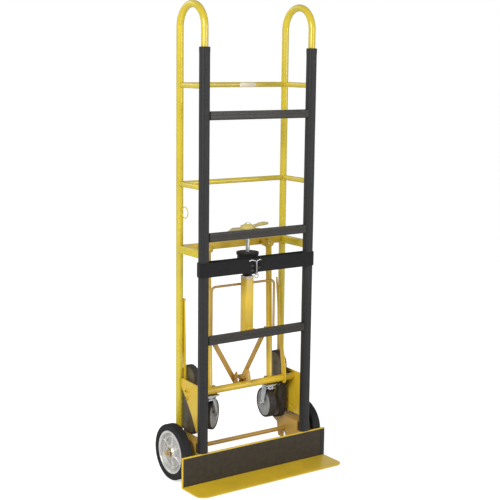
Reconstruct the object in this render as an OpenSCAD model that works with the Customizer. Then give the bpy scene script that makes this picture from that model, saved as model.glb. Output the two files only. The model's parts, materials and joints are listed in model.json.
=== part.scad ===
// Convertible hand truck: an upright two-wheel truck with a hinged rear carriage that
// swings out on two swivel casters, a strap ratchet and a pair of stair-climbing tracks.
// Millimetres, +Z up, load side towards -Y. The origin is on the floor, on the centre
// plane, under the front face of the toe plate's pad.

/* [Frame] */
// Width between the side frames, tube centre to tube centre
frame_w = 457; // [445:1:470]
// Depth of a side frame, front rail to rear upright, tube centre to tube centre
frame_depth = 157; // [155:1:160]
// Height of the hoops' centreline above the floor
hoop_top = 1683; // [1640:1:1760]
// Outside diameter of the frame tube
tube_d = 25.4; // [24.8:0.1:25.6]
// Wall of the frame tube
tube_wall = 2.1; // [1.6:0.1:2.6]
// Height of the top end of the rail covers
cover_top = 1539; // [1480:1:1560]
// Width of a rail cover
cover_w = 36; // [34:1:37]
// Front to back depth of a rail cover
cover_depth = 34; // [32:1:34]

/* [Crossbars] */
// Heights of the three front crossbars
front_bar_z = [1307, 887, 520];
// Height of a front crossbar's section
front_bar_h = 30; // [26:1:32]
// Depth of a front crossbar's section
front_bar_depth = 26; // [22:1:28]
// Height of the upper rear crossbar
upper_bar_z = 1407; // [1360:1:1440]
// Height of the middle rear crossbar
middle_bar_z = 1061; // [1020:1:1100]
// Height of the heavy lower rear crossbar, which carries the carriage hinge
lower_bar_z = 828; // [824:1:832]
// Diameter of the upper and middle rear crossbars
rear_bar_d = 19; // [16:0.5:21]
// Side of the square lower rear crossbar
lower_bar_side = 25; // [24:0.5:25]

/* [Toe plate] */
// Width of the toe plate
toe_w = 640; // [600:1:680]
// Height of its upright leg
toe_h = 113; // [112:0.5:113.5]
// Reach of its lip in front of the pad
toe_reach = 118; // [100:1:160]
// Plate thickness
toe_t = 4.5; // [4:0.5:4.5]
// Radius of the lip's front corners
toe_corner = 34; // [10:1:50]
// Thickness of the pad on the upright leg
pad_t = 2; // [1.5:0.5:2]

/* [Main wheels] */
// Diameter of the main wheels
wheel_d = 203.2; // [200:0.1:206]
// Width of the tyre
tyre_w = 36; // [34:1:37]
// Diameter of the hub's rim, inside the tyre
rim_d = 158; // [150:1:164]
// Diameter of the axle
axle_d = 15.9; // [15:0.1:16]
// Distance from the centre plane to the middle of a tyre
track_half = 290; // [289:1:292]
// How far the axle is behind the pad's front face
axle_y = 109; // [109:1:111]

/* [Carriage] */
// Distance from the centre plane to a carriage leg
leg_x = 135; // [133:1:136]
// Diameter of a carriage leg
leg_d = 22; // [20:0.5:23]
// Height of the carriage hinge
hinge_z = 822; // [820:1:824]
// How far the carriage hinge is behind the pad's front face
hinge_y = 128; // [127:1:129]
// Height of the carriage bar's centreline
bar_z = 302; // [301:1:303]
// Diameter of a caster wheel
caster_d = 114; // [104:1:115]
// Width of a caster wheel
caster_w = 30; // [26:1:31]
// Distance from a caster's kingpin to its axle
caster_trail = 24; // [20:1:25]
// Direction in which the left caster trails, from +X towards +Y
left_trail_angle = 38; // [36:1:44]
// Direction in which the right caster trails, from +X towards +Y
right_trail_angle = 82; // [78:1:86]

/* [Stair climbers] */
// Radius of a track's round ends
climber_r = 49; // [46:0.5:49]
// Width of a track
climber_w = 24; // [22:1:24]
// Height of the upper roller
climber_top_z = 353; // [345:1:357]
// Height of the lower roller
climber_low_z = 189; // [187:1:200]

/* [Strap and ratchet] */
// Width of the strap
strap_w = 51; // [44:1:51]
// Thickness of the strap
strap_t = 2.6; // [2:0.1:2.8]
// Height of the strap's middle
strap_z = 776; // [775:0.5:777]
// Diameter of the spool's flanges
spool_d = 82; // [81:1:90]
// How far the spool shaft is behind the pad's front face
spool_y = 72; // [71:1:73]
// Diameter of the spool shaft
shaft_d = 15; // [14:0.1:15.5]
// Length of the ratchet lever
lever_l = 132; // [110:1:150]
// Direction in which the lever points at rest, from +X towards +Y
lever_angle = 25; // [10:1:35]

/* [Hidden] */
$fn = 48;

YELLOW = [0.86, 0.77, 0.30];
GOLD = [0.80, 0.68, 0.30];
BLACK = [0.17, 0.17, 0.17];
STRAP = [0.11, 0.11, 0.11];
RUBBER = [0.14, 0.13, 0.12];
ALLOY = [0.66, 0.65, 0.62];
CHROME = [0.78, 0.80, 0.82];
PAD = [0.25, 0.22, 0.18];

fit = 0.1; // gap left where two welded or pressed pieces meet
run = 0.08; // radial clearance of a running fit
half_w = frame_w / 2;
rail_y = 12;
upright_y = rail_y + frame_depth;
hoop_r = frame_depth / 2;
hoop_z = hoop_top - hoop_r;
rail_foot = toe_h + fit;
bracket_top = 150;
cover_r = 12;
cover_front = rail_y - cover_depth / 2;
cover_back = rail_y + cover_depth / 2;
cover_foot = toe_h + 1;
inner_side = half_w - cover_w / 2;
axle_z = wheel_d / 2;
gusset_t = 5;
climber_x = 194.5;
climber_y = 145;
climber_belt_t = 6;
climber_bolt_y = 111;
climber_bolt_z = [292, 318];
stop_y = 82;
stop_z = 312;
leg_y = 111;
caster_z = bar_z - tube_d / 2;
latch_at = [leg_y - 2, bar_z + 34];
latch_lift = 36;
kingpin_x = 138;
caster_bolt = 22;
bar_reach = 168;
caster_axle_z = caster_z - 23.5 - caster_d / 2;
spool_low = strap_z - strap_w / 2 - 3.5;
spool_high = strap_z + strap_w / 2 + 0.5;
flange_t = 3;
top_flange_t = 10;
roll_r = 39;
post_side = 36;
post_top = 724;
ratchet_z = front_bar_z[1] + 8;
pin_x = -21;
pin_y = cover_front - strap_t - 7;

// ---- general shapes ----

// Ring-shaped bar along +Z with a bore
module tube(d, bore, h) {
    difference() {
        cylinder(d = d, h = h);
        translate([0, 0, -1]) cylinder(d = bore, h = h + 2);
    }
}

// Rounded rectangle centred on the origin
module round_rect(w, d, r) {
    square([w - 2 * r, d], center = true);
    square([w, d - 2 * r], center = true);
    for (sx = [-1, 1], sy = [-1, 1])
        translate([sx * (w / 2 - r), sy * (d / 2 - r)]) circle(r = r);
}

// Bar of a flat section that lies in the YZ plane and runs along X, centred on x
module along_x(x, length) {
    translate([x - length / 2, 0, 0]) rotate([90, 0, 90]) linear_extrude(length) children();
}

// Round bar along X, centred on x
module x_rod(x, y, z, d, length) {
    translate([x - length / 2, y, z]) rotate([0, 90, 0]) cylinder(d = d, h = length);
}

// Round bar between two points
module rod(a, b, d) {
    v = b - a;
    translate(a)
        rotate([0, acos(v[2] / norm(v)), atan2(v[1], v[0])])
            cylinder(d = d, h = norm(v));
}

// ---- side frames ----

module frame_solid(side, d) {
    translate([side * half_w, upright_y, bracket_top + fit])
        cylinder(d = d, h = hoop_z - bracket_top - fit);
    translate([side * half_w, rail_y, rail_foot])
        cylinder(d = d, h = hoop_z - rail_foot);
    translate([side * half_w, rail_y + hoop_r, hoop_z])
        rotate([90, 0, 90])
            rotate_extrude(angle = 180, $fn = 96)
                translate([hoop_r, 0]) circle(d = d);
}

module frame_tube(side) {
    bore = tube_d - 2 * tube_wall;
    color(YELLOW) difference() {
        frame_solid(side, tube_d);
        frame_solid(side, bore);
        translate([side * half_w, upright_y, bracket_top - 1]) cylinder(d = bore, h = 5);
        translate([side * half_w, rail_y, rail_foot - 1]) cylinder(d = bore, h = 5);
    }
}

// Soft sleeve that pads the front rail
module rail_cover(side) {
    color(BLACK) translate([side * half_w, rail_y, cover_foot])
        difference() {
            linear_extrude(cover_top - cover_foot) round_rect(cover_w, cover_depth, cover_r);
            translate([0, 0, -1])
                cylinder(d = tube_d + 2 * fit, h = cover_top - cover_foot + 2);
        }
}

// Cuts the place of both uprights out of a crossbar
module clear_of_uprights() {
    difference() {
        children();
        for (side = [-1, 1])
            translate([side * half_w, upright_y, 0]) cylinder(d = tube_d + 2 * fit, h = hoop_z);
    }
}

module rear_crossbar(z) {
    color(YELLOW) clear_of_uprights() x_rod(0, upright_y, z, rear_bar_d, frame_w);
}

module lower_rear_crossbar() {
    color(GOLD) clear_of_uprights()
        along_x(0, frame_w - lower_bar_side + 3 - 2 * fit)
            translate([upright_y, lower_bar_z])
                round_rect(lower_bar_side, lower_bar_side, 4);
}

// Short bars that tie each upright to its rail at the three rear crossbars
module side_rungs() {
    reach = upright_y - cover_back - fit;
    color(YELLOW) clear_of_uprights()
        for (side = [-1, 1]) {
            for (z = [upper_bar_z, middle_bar_z])
                translate([side * half_w, cover_back + fit, z])
                    rotate([-90, 0, 0]) cylinder(d = rear_bar_d, h = reach - rear_bar_d / 2);
            translate([side * half_w, cover_back + fit, lower_bar_z])
                rotate([-90, 0, 0])
                    linear_extrude(reach - 3)
                        round_rect(lower_bar_side - 3, lower_bar_side + 3, 4);
        }
}

module front_crossbar(z) {
    color(BLACK)
        along_x(0, 2 * inner_side - 2 * fit)
            translate([rail_y, z]) round_rect(front_bar_depth, front_bar_h, 5);
}

// Blank plate on the front of the upper rear crossbar
module label_plate() {
    plate_w = 72;
    plate_h = 15;
    plate_t = 1.2;
    color(CHROME)
        translate([54 - plate_w / 2, upright_y - rear_bar_d / 2 - plate_t - 0.02, upper_bar_z - plate_h / 2])
            cube([plate_w, plate_t, plate_h]);
}

// ---- toe plate ----

module toe_plate() {
    leg_back = pad_t + toe_t;
    bend_r = 4;
    color(YELLOW) {
        difference() {
            linear_extrude(toe_t) difference() {
                union() {
                    translate([-toe_w / 2, -toe_reach + toe_corner])
                        square([toe_w, toe_reach - toe_corner + leg_back]);
                    translate([-toe_w / 2 + toe_corner, -toe_reach])
                        square([toe_w - 2 * toe_corner, toe_corner + 1]);
                    for (side = [-1, 1])
                        translate([side * (toe_w / 2 - toe_corner), -toe_reach + toe_corner])
                            circle(r = toe_corner);
                }
            }
            translate([0, leg_back, 0]) toe_edge_cut(bend_r);
        }
        difference() {
            translate([-toe_w / 2, pad_t, toe_t - 1]) cube([toe_w, toe_t, toe_h - toe_t + 1]);
            translate([0, leg_back, 0]) toe_edge_cut(bend_r);
        }
    }
}

// Rounds the plate's outer bend
module toe_edge_cut(r) {
    along_x(0, toe_w + 2)
        difference() {
            translate([-r, -1]) square([r + 1, r + 1]);
            translate([-r, r]) circle(r = r);
        }
}

module toe_plate_pad() {
    edge = 5;
    color(PAD)
        translate([-toe_w / 2 + edge, 0, toe_t + fit])
            cube([toe_w - 2 * edge, pad_t - fit, toe_h - toe_t - edge]);
}

// ---- wheels and axle ----

// Outline of an axle bracket's cheek, as [y, z]
module bracket_cheek() {
    front = pad_t + toe_t + fit;
    polygon([
        [front, 60], [front, toe_h - 1], [cover_back + 1, toe_h - 1],
        [cover_back + 1, bracket_top - 6], [upright_y + 16, bracket_top - 6],
        [upright_y + 16, 126], [upright_y - 12, 114], [axle_y + 39, 62], [axle_y + 10, 58],
        [axle_y + 8, 90], [axle_y - 8, 90], [axle_y - 10, 64], [60, 60]
    ]);
}

module axle_brackets() {
    cheek_t = 6;
    top_w = 41;
    color(GOLD)
        for (side = [-1, 1])
            difference() {
                union() {
                    for (s = [-1, 1])
                        along_x(side * half_w + s * (top_w - cheek_t) / 2, cheek_t) bracket_cheek();
                    translate([side * half_w - top_w / 2, cover_back + 1, bracket_top - 6.5])
                        cube([top_w, upright_y + 16 - cover_back - 1, 6.5]);
                }
                x_rod(side * half_w, axle_y, axle_z, axle_d + 2 * fit, top_w + 10);
            }
}

module main_axle() {
    color(GOLD) difference() {
        x_rod(0, axle_y, axle_z, axle_d, 2 * track_half + 66);
        for (side = [-1, 1])
            translate([side * (track_half + 28.5), axle_y, axle_z - 20]) cylinder(d = 3.4, h = 40);
    }
}

// A washer outside each wheel and a distance tube inside it
module axle_spacers() {
    inner_start = half_w + 20.5 + 0.3;
    inner_end = track_half - 24.3;
    color(ALLOY)
        for (side = [-1, 1]) {
            translate([side > 0 ? track_half + 22.3 : -track_half - 25.3, axle_y, axle_z])
                rotate([0, 90, 0]) tube(30, axle_d + 2 * fit, 3);
            translate([side > 0 ? inner_start : -inner_end, axle_y, axle_z])
                rotate([0, 90, 0]) tube(24, axle_d + 2 * fit, inner_end - inner_start);
        }
}

module cotter_pins() {
    color(CHROME)
        for (side = [-1, 1])
            translate([side * (track_half + 28.5), axle_y, axle_z - 12]) {
                cylinder(d = 3.2, h = 30);
                translate([0, 0, 33])
                    rotate([90, 0, 0]) rotate_extrude() translate([3.6, 0]) circle(d = 2.4, $fn = 24);
            }
}

// Cast hub with a dished web, a raised rim and a long boss
module wheel_hub(side) {
    rim_r = rim_d / 2;
    web = 7;
    color(ALLOY)
        translate([side * track_half, axle_y, axle_z]) rotate([0, side * 90, 0])
            difference() {
                union() {
                    rotate_extrude($fn = 96) difference() {
                        translate([0, -tyre_w / 2 + 3]) square([rim_r, tyre_w - 4]);
                        translate([24, web / 2]) square([rim_r - 24 - 9, tyre_w]);
                        translate([24, -tyre_w - web / 2]) square([rim_r - 24 - 9, tyre_w]);
                    }
                    translate([0, 0, -24]) cylinder(r = 21, h = 46);
                    for (i = [0 : 5])
                        rotate([0, 0, i * 60 + 30])
                            translate([18, -3, -tyre_w / 2 + 5]) cube([rim_r - 24, 6, tyre_w - 10]);
                }
                translate([0, 0, -30]) cylinder(d = axle_d + 2 * run, h = 60);
            }
}

module tyre(side) {
    crown = 7;
    color(RUBBER)
        translate([side * track_half, axle_y, axle_z]) rotate([0, 90, 0])
            rotate_extrude($fn = 128) difference() {
                union() {
                    translate([rim_d / 2 + fit, -tyre_w / 2])
                        square([wheel_d / 2 - rim_d / 2 - crown, tyre_w]);
                    translate([wheel_d / 2 - crown - 1, -tyre_w / 2 + crown])
                        square([crown + 1, tyre_w - 2 * crown]);
                    for (s = [-1, 1])
                        translate([wheel_d / 2 - crown, s * (tyre_w / 2 - crown)]) circle(r = crown);
                }
                for (s = [-1, 1])
                    translate([rim_d / 2 + 6, s * tyre_w / 2]) circle(r = 1.5, $fn = 24);
            }
}

// ---- lower frame ----

module gusset_plates() {
    color(YELLOW)
        for (side = [-1, 1])
            difference() {
                along_x(side * half_w, gusset_t)
                    polygon(side > 0
                        ? [
                            [cover_back + fit, 166], [cover_back + fit, 330], [146, 335], [152, 322],
                            [150, 196], [138, 174], [122, 168]
                        ]
                        : [
                            [cover_back + fit, 168], [cover_back + fit, 350], [147, 356], [153, 346],
                            [152, 324], [116, 281], [82, 234], [54, 184]
                        ]);
                if (side > 0) x_rod(side * half_w, 92, 190, 9, gusset_t + 2);
                for (z = climber_bolt_z)
                    x_rod(side * half_w, climber_bolt_y, z, 8 + 2 * fit, gusset_t + 2);
            }
}

// Cross tube that ties the gussets together and stops the folded carriage
module carriage_stop_tube() {
    length = 2 * (half_w - gusset_t / 2 - fit);
    color(YELLOW)
        translate([-length / 2, stop_y, stop_z]) rotate([0, 90, 0]) tube(tube_d, tube_d - 2 * tube_wall, length);
}

// Flat diagonal struts inside each frame, from upright to gusset
module side_struts() {
    top = [upright_y - 4, 640];
    low = [155, 352];
    bar_w = 14;
    bar_t = 4.5;
    lean = atan2(top[0] - low[0], top[1] - low[1]);
    length = norm(top - low);
    color(YELLOW)
        for (side = [-1, 1]) {
            x = side * (half_w - tube_d / 2 - fit - bar_t / 2);
            along_x(x, bar_t)
                translate(low) rotate(-lean) {
                    translate([-bar_w / 2, 0]) square([bar_w, length]);
                    circle(d = bar_w);
                    translate([0, length]) circle(d = bar_w);
                }
            x_rod(x - side * (bar_t / 2 + 2), low[0], low[1], 13, 4.2, $fn = 6);
            x_rod(x - side * (bar_t / 2 + 2), top[0], top[1], 11, 4.2, $fn = 6);
        }
}

// ---- stair climbers ----

module climber_outline(r) {
    translate([climber_y - r, climber_low_z]) square([2 * r, climber_top_z - climber_low_z]);
    for (z = [climber_low_z, climber_top_z]) translate([climber_y, z]) circle(r = r, $fn = 96);
}

module climber_frame(side) {
    plate_t = 3;
    plate_r = climber_r - climber_belt_t - 1;
    x = side * climber_x;
    color(ALLOY) {
        for (s = [-1, 1])
            along_x(x + s * (climber_w / 2 - plate_t / 2 - 0.5), plate_t) climber_outline(plate_r);
        for (z = [climber_low_z, climber_top_z]) x_rod(x, climber_y, z, 12, climber_w - 2);
        for (z = climber_bolt_z) {
            x_rod(side * (climber_x + climber_w / 2 + 8), climber_bolt_y, z, 12, 18.4);
            x_rod(side * (half_w + 1), climber_bolt_y, z, 8, 20);
        }
    }
}

module climber_belt(side) {
    color(RUBBER)
        along_x(side * climber_x, climber_w)
            difference() {
                climber_outline(climber_r);
                climber_outline(climber_r - climber_belt_t);
            }
}

module climber_roller(side, z) {
    roller_w = climber_w - 9;
    color(BLACK)
        translate([side * climber_x - roller_w / 2, climber_y, z]) rotate([0, 90, 0])
            tube(2 * (climber_r - climber_belt_t - 0.4), 12 + 2 * run, roller_w, $fn = 72);
}

// ---- strap, spool and ratchet ----

module centre_post() {
    foot_z = front_bar_z[2];
    foot_front = rail_y + front_bar_depth / 2 + fit;
    bore = post_side - 6;
    color(YELLOW) {
        translate([0, spool_y, foot_z - 14]) difference() {
            linear_extrude(post_top - foot_z + 14)
                round_rect(post_side, post_side, 5);
            translate([-bore / 2, -bore / 2, 6]) cube([bore, bore, post_top - foot_z + 4]);
            translate([0, 0, -1]) cylinder(d = 12, h = 9);
        }
        translate([-12, foot_front, foot_z - 12])
            cube([24, spool_y - post_side / 2 - foot_front + 0.5, 24]);
    }
}

// Cup on top of the post that holds the rewind spring and the foot of the shaft
module recoil_case() {
    case_d = 78;
    neck_h = 12;
    case_h = spool_low - post_top - 1;
    color(BLACK)
        translate([0, spool_y, post_top + fit]) difference() {
            union() {
                cylinder(d = 34, h = neck_h);
                translate([0, 0, neck_h - 1]) cylinder(d = case_d, h = case_h - fit - neck_h + 1);
            }
            translate([0, 0, neck_h + 1]) cylinder(d = case_d - 6, h = case_h - neck_h - 3);
            translate([0, 0, 2]) cylinder(d = shaft_d + 2 * run, h = case_h);
        }
}

// Upright arm on the right of the stop tube, which the folded carriage's leg lies beside
module carriage_guide_arm() {
    arm_x = 176;
    arm_t = 4.5;
    foot = [74, 305];
    knee = [77, 362];
    bend = [97, 452];
    tip = [129, 692];
    color(YELLOW) difference() {
        union() {
            along_x(arm_x, arm_t) {
                polygon([
                    foot - [12, 0], foot + [12, 0], knee + [13, 0], bend + [9, 0], tip + [3, 0],
                    tip - [2, 0], bend - [9, 0], knee - [13, 0]
                ]);
                translate(foot) circle(r = 12);
                translate(knee) circle(r = 13);
            }
            x_rod(arm_x - arm_t / 2 - 2.4, knee[0], knee[1], 14, 5, $fn = 6);
        }
        x_rod(arm_x, stop_y, stop_z, tube_d + 2 * fit, arm_t + 20);
    }
}

module ratchet_shaft() {
    foot = post_top + 4;
    color(CHROME)
        translate([0, spool_y, foot]) cylinder(d = shaft_d, h = ratchet_z + 23 - foot);
}

module belt_spool() {
    color(BLACK) {
        translate([0, spool_y, spool_low]) tube(spool_d, shaft_d + 2 * fit, flange_t);
        translate([0, spool_y, spool_low + flange_t - 0.5])
            tube(30, shaft_d + 2 * fit, spool_high - spool_low - flange_t + 1);
        translate([0, spool_y, spool_high]) difference() {
            cylinder(d = spool_d, h = top_flange_t);
            translate([0, 0, -1]) cylinder(d = shaft_d + 2 * fit, h = top_flange_t + 2);
        }
    }
}

module belt_roll() {
    color(STRAP)
        translate([0, spool_y, strap_z - strap_w / 2])
            tube(2 * roll_r, 30 + 2 * fit, strap_w);
}

// Plate behind the middle front crossbar that steadies the top of the shaft
module ratchet_bracket() {
    t = 5;
    back = rail_y + front_bar_depth / 2 + fit;
    color(YELLOW) difference() {
        union() {
            translate([0, 0, ratchet_z - t]) linear_extrude(t) {
                polygon([
                    [-104, back], [-100, back + 32], [-34, spool_y + 50], [6, spool_y + 48],
                    [34, spool_y + 26], [60, back + 14], [68, back]
                ]);
            }
            translate([-104, back, ratchet_z - 20]) cube([172, 4, 20]);
        }
        translate([0, spool_y, ratchet_z - 30]) cylinder(d = shaft_d + 2 * run, h = 60);
    }
}

module ratchet_wheel() {
    teeth = 12;
    root_r = 15;
    color(CHROME)
        translate([0, spool_y, ratchet_z + 6]) linear_extrude(6) difference() {
            union() {
                circle(r = root_r);
                for (i = [0 : teeth - 1])
                    rotate(lever_angle + (i + 0.5) * 360 / teeth)
                        polygon([[root_r - 2, -4.6], [root_r + 4, 0], [root_r - 2, 1.2]]);
            }
            circle(d = shaft_d + 2 * fit);
        }
}

// Head that turns on the shaft, with the lever welded to its side
module ratchet_lever() {
    head_r = 27;
    head_h = 14;
    floor_t = 4;
    color(YELLOW) translate([0, spool_y, ratchet_z + 1]) {
        difference() {
            union() {
                cylinder(r = head_r, h = head_h - 3);
                translate([0, 0, head_h - 3]) cylinder(r1 = head_r, r2 = 17, h = 3);
                translate([0, 0, head_h]) cylinder(d1 = 34, d2 = 20, h = 5);
                rotate(lever_angle) translate([head_r - 5, -9, 1]) cube([lever_l - head_r - 36, 18, 7]);
                rotate(lever_angle) translate([lever_l - 46, -12, 0.5]) cube([46, 24, 9]);
            }
            translate([0, 0, -1]) cylinder(d = shaft_d + 2 * run, h = head_h + 8);
            translate([0, 0, floor_t]) cylinder(r = 20, h = 8);
            rotate(lever_angle + 180) translate([12, -4, floor_t + 0.4]) cube([12.5, 7, 7]);
        }
    }
}

// Spring pawl in the head's pocket
module ratchet_pawl() {
    color(CHROME)
        translate([0, spool_y, ratchet_z + 6])
            rotate(lever_angle + 180)
                translate([19.6, -3, 0.5]) cube([4, 4.5, 5]);
}

// One half of the strap: a front run, a turn round the rail cover and a run back to the spool
module strap(side) {
    inner = 0.6;
    front_end = side > 0 ? pin_x + 9 : pin_x - 9;
    wrap_w = cover_w + 2 * inner;
    wrap_d = cover_depth + 2 * inner;
    run_front = cover_front - inner - strap_t;
    back_start = [side * (half_w - 12), cover_back + inner + strap_t / 2];
    spool_point = [side * 6, spool_y - roll_r - 3];
    back_run = spool_point - back_start;
    color(STRAP)
        translate([0, 0, strap_z - strap_w / 2]) linear_extrude(strap_w) {
            translate([min(front_end, side * half_w), run_front])
                square([abs(side * half_w - front_end), strap_t]);
            difference() {
                translate([side * half_w, rail_y])
                    round_rect(wrap_w + 2 * strap_t, wrap_d + 2 * strap_t, cover_r + inner + strap_t);
                translate([side * half_w, rail_y]) round_rect(wrap_w, wrap_d, cover_r + inner);
                translate([side * half_w + (side > 0 ? -100 : 0), rail_y - 50]) square([100, 100]);
            }
            translate([min(side * half_w, back_start[0]), cover_back + inner])
                square([12.5, strap_t]);
            translate(back_start) rotate(atan2(back_run[1], back_run[0]))
                translate([-1, -strap_t / 2]) square([norm(back_run) + 1, strap_t]);
        }
}

// Metal end pieces riveted to the strap, with hooks that open forwards round the pin
module strap_clips() {
    face = cover_front - 0.6 - strap_t;
    clip_t = 1.6;
    knuckle_d = 9;
    color(CHROME)
        for (part = [[-1, strap_z - 22, 7], [-1, strap_z - 5, 7], [1, strap_z - 14, 8]]) {
            difference() {
                union() {
                    translate([pin_x, pin_y, part[1]]) cylinder(d = knuckle_d, h = part[2]);
                    translate([min(pin_x, pin_x + part[0] * 20), face - clip_t - 0.05, part[1]])
                        cube([20, clip_t, part[2]]);
                }
                translate([pin_x, pin_y, part[1] - 1]) cylinder(d = 5.4, h = part[2] + 2);
                translate([pin_x - 2.7, pin_y - 10, part[1] - 1]) cube([5.4, 10, part[2] + 2]);
            }
        }
}

// Pin with raised wings that a hand pulls forwards to part the strap
module strap_pin() {
    top = strap_z + 13;
    low = strap_z - 26;
    color(CHROME) {
        translate([pin_x, pin_y, low]) cylinder(d = 5, h = top - low);
        for (tip = [-32, 19]) {
            rod([pin_x, pin_y, top - 1], [pin_x + tip, pin_y, top + 8], 4.6);
            translate([pin_x + tip, pin_y, top + 8]) sphere(d = 4.6);
        }
        translate([pin_x, pin_y, top - 1]) sphere(d = 7);
        translate([pin_x, pin_y, low - 3]) rotate([0, 90, 0])
            rotate_extrude() translate([4, 0]) circle(d = 3, $fn = 24);
    }
}

module pin_ring() {
    ring_r = 8;
    color(CHROME)
        translate([pin_x, pin_y, strap_z - 29 - ring_r]) rotate([90, 0, 0])
            rotate_extrude() translate([ring_r, 0]) circle(d = 2, $fn = 24);
}

// Wire eye on the left upright that keeps the loose strap end
module wire_keeper() {
    wire_d = 3.6;
    ring_r = 20;
    color(YELLOW)
        translate([-half_w, upright_y - tube_d / 2 - fit - ring_r - wire_d / 2, 962])
            rotate([90, 0, 90])
                rotate_extrude() translate([ring_r, 0]) circle(d = wire_d, $fn = 24);
}

// ---- carriage ----

// Lugs under the lower rear crossbar, with the two hinge pins
module hinge_lugs() {
    lug_t = 4;
    gap = 12.5;
    beam_front = upright_y - lower_bar_side / 2 - fit;
    color(YELLOW)
        for (side = [-1, 1]) {
            for (s = [-1, 1])
                along_x(side * leg_x + s * (gap + lug_t / 2), lug_t)
                    union() {
                        polygon([
                            [hinge_y, hinge_z - 10], [hinge_y, hinge_z + 10],
                            [beam_front, lower_bar_z + 10], [beam_front, lower_bar_z - 11]
                        ]);
                        translate([hinge_y, hinge_z]) circle(r = 10);
                    }
            x_rod(side * leg_x, hinge_y, hinge_z, 12, 2 * gap + 2 * lug_t + 6);
        }
}

// Two legs with hinge eyes, welded to the bar that carries the casters
module carriage_frame() {
    eye_w = 24;
    color(YELLOW) difference() {
        union() {
            for (side = [-1, 1]) {
                rod([side * leg_x, leg_y, bar_z], [side * leg_x, hinge_y, hinge_z], leg_d);
                x_rod(side * leg_x, hinge_y, hinge_z, 24, eye_w);
            }
            x_rod(0, leg_y, bar_z, tube_d, 2 * bar_reach);
        }
        for (side = [-1, 1]) {
            x_rod(side * leg_x, hinge_y, hinge_z, 12 + 2 * run, eye_w + 2);
            for (s = [-1, 1])
                translate([side * kingpin_x + s * caster_bolt, leg_y, bar_z - 20])
                    cylinder(d = 8.4, h = 40);
        }
    }
}

// Two flat diagonals from the legs to the middle of the bar
module v_brace() {
    high = [leg_x - 8, 506];
    low = [9, bar_z + 6];
    v = high - low;
    t = 5;
    color(GOLD)
        for (side = [-1, 1])
            difference() {
                translate([0, leg_y + 9.5 + t, 0]) rotate([90, 0, 0])
                    linear_extrude(t)
                        scale([side, 1])
                            translate(low) rotate(atan2(v[1], v[0]))
                                translate([0, -9]) square([norm(v), 18]);
                rod([side * leg_x, leg_y, bar_z], [side * leg_x, hinge_y, hinge_z], leg_d + 2 * fit);
                x_rod(0, leg_y, bar_z, tube_d + 2 * fit, 2 * leg_x);
                translate([side > 0 ? -20 : fit / 2, leg_y - 20, bar_z])
                    cube([20 - fit / 2, 40, 60]);
            }
}

// Bent rod across the legs for pulling the carriage out
module grab_bail() {
    d = 9;
    x = leg_x + 4;
    y = spool_y + post_side / 2 + 5.6;
    top = 690;
    low = 478;
    bend = 16;
    color(GOLD) {
        x_rod(0, y, top, d, 2 * (x - bend));
        for (side = [-1, 1]) {
            translate([side * (x - bend), y, top - bend]) rotate([90, 0, 0])
                rotate([0, 0, side > 0 ? 0 : 90])
                    rotate_extrude(angle = 90) translate([bend, 0]) circle(d = d, $fn = 32);
            translate([side * x, y, low]) cylinder(d = d, h = top - bend - low);
            translate([side * x, y, low]) sphere(d = d);
            difference() {
                translate([side * x, y, low]) rotate([-90, 0, 0]) cylinder(d = d, h = 18);
                rod([side * leg_x, leg_y, bar_z], [side * leg_x, hinge_y, hinge_z], leg_d + 2 * fit);
            }
        }
    }
}

// Forked bracket with two horns on the middle of the bar, with the latch pin
module latch_bracket() {
    horn_t = 5;
    color(GOLD) {
        difference() {
            for (s = [-1, 1])
                along_x(s * 20, horn_t)
                    polygon([
                        [leg_y - 10, bar_z], [leg_y - 11, bar_z + 44], [leg_y - 6, bar_z + 58],
                        [leg_y + 7, bar_z + 40], [leg_y + 8, bar_z]
                    ]);
            x_rod(0, leg_y, bar_z, tube_d + 2 * fit, 60);
        }
        x_rod(0, latch_at[0], latch_at[1], 8, 50);
    }
}

// Hook between the horns; it stands raised, and drops over the stop tube to lock the carriage
module carriage_latch() {
    tube_at = [stop_y - latch_at[0], stop_z - latch_at[1]];
    tube_angle = atan2(tube_at[1], tube_at[0]);
    slot_r = norm(tube_at);
    slot_half = tube_d / 2 + 0.9;
    color(CHROME)
        along_x(0, 12) translate(latch_at) rotate(-latch_lift)
            difference() {
                union() {
                    circle(r = 9);
                    sector(slot_r + slot_half + 9, 176, 360 + tube_angle + 1);
                }
                circle(d = 8 + 2 * run);
                translate(tube_at) circle(r = slot_half);
                difference() {
                    sector(slot_r + slot_half, 360 + tube_angle, 300);
                    circle(r = slot_r - slot_half);
                }
            }
}

// Pie slice from one angle to another, less than half a turn
module sector(r, from, to) {
    far = 2 * r;
    intersection() {
        circle(r = r);
        polygon([[0, 0], [far * cos(from), far * sin(from)], [far * cos(to), far * sin(to)]]);
    }
}

// Caster top plates with kingpins, upper races and the bolts that clamp them to the bar
module caster_plates() {
    plate_t = 5;
    color(CHROME)
        for (side = [-1, 1])
            translate([side * kingpin_x, leg_y, 0]) {
                difference() {
                    translate([0, 0, caster_z - plate_t])
                        linear_extrude(plate_t - 0.02) round_rect(66, 50, 6);
                    translate([0, 0, caster_z - plate_t - 1]) cylinder(d = 6, h = 2);
                }
                translate([0, 0, caster_z - plate_t - 7]) cylinder(d = 42, h = 7.02);
                translate([0, 0, caster_z - 24.5]) cylinder(d = 12, h = 20);
                translate([0, 0, caster_z - 24.5]) cylinder(d = 17, h = 3);
                for (s = [-1, 1]) {
                    translate([s * caster_bolt, 0, caster_z - 9]) cylinder(d = 8, h = tube_d + 14);
                    translate([s * caster_bolt, 0, caster_z + tube_d + 0.1])
                        cylinder(d = 13, h = 5, $fn = 6);
                }
            }
}

// Places children in a caster's own frame: kingpin at the origin, wheel along +X
module at_caster(side, angle) {
    translate([side * kingpin_x, leg_y, 0]) rotate(angle) children();
}

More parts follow.
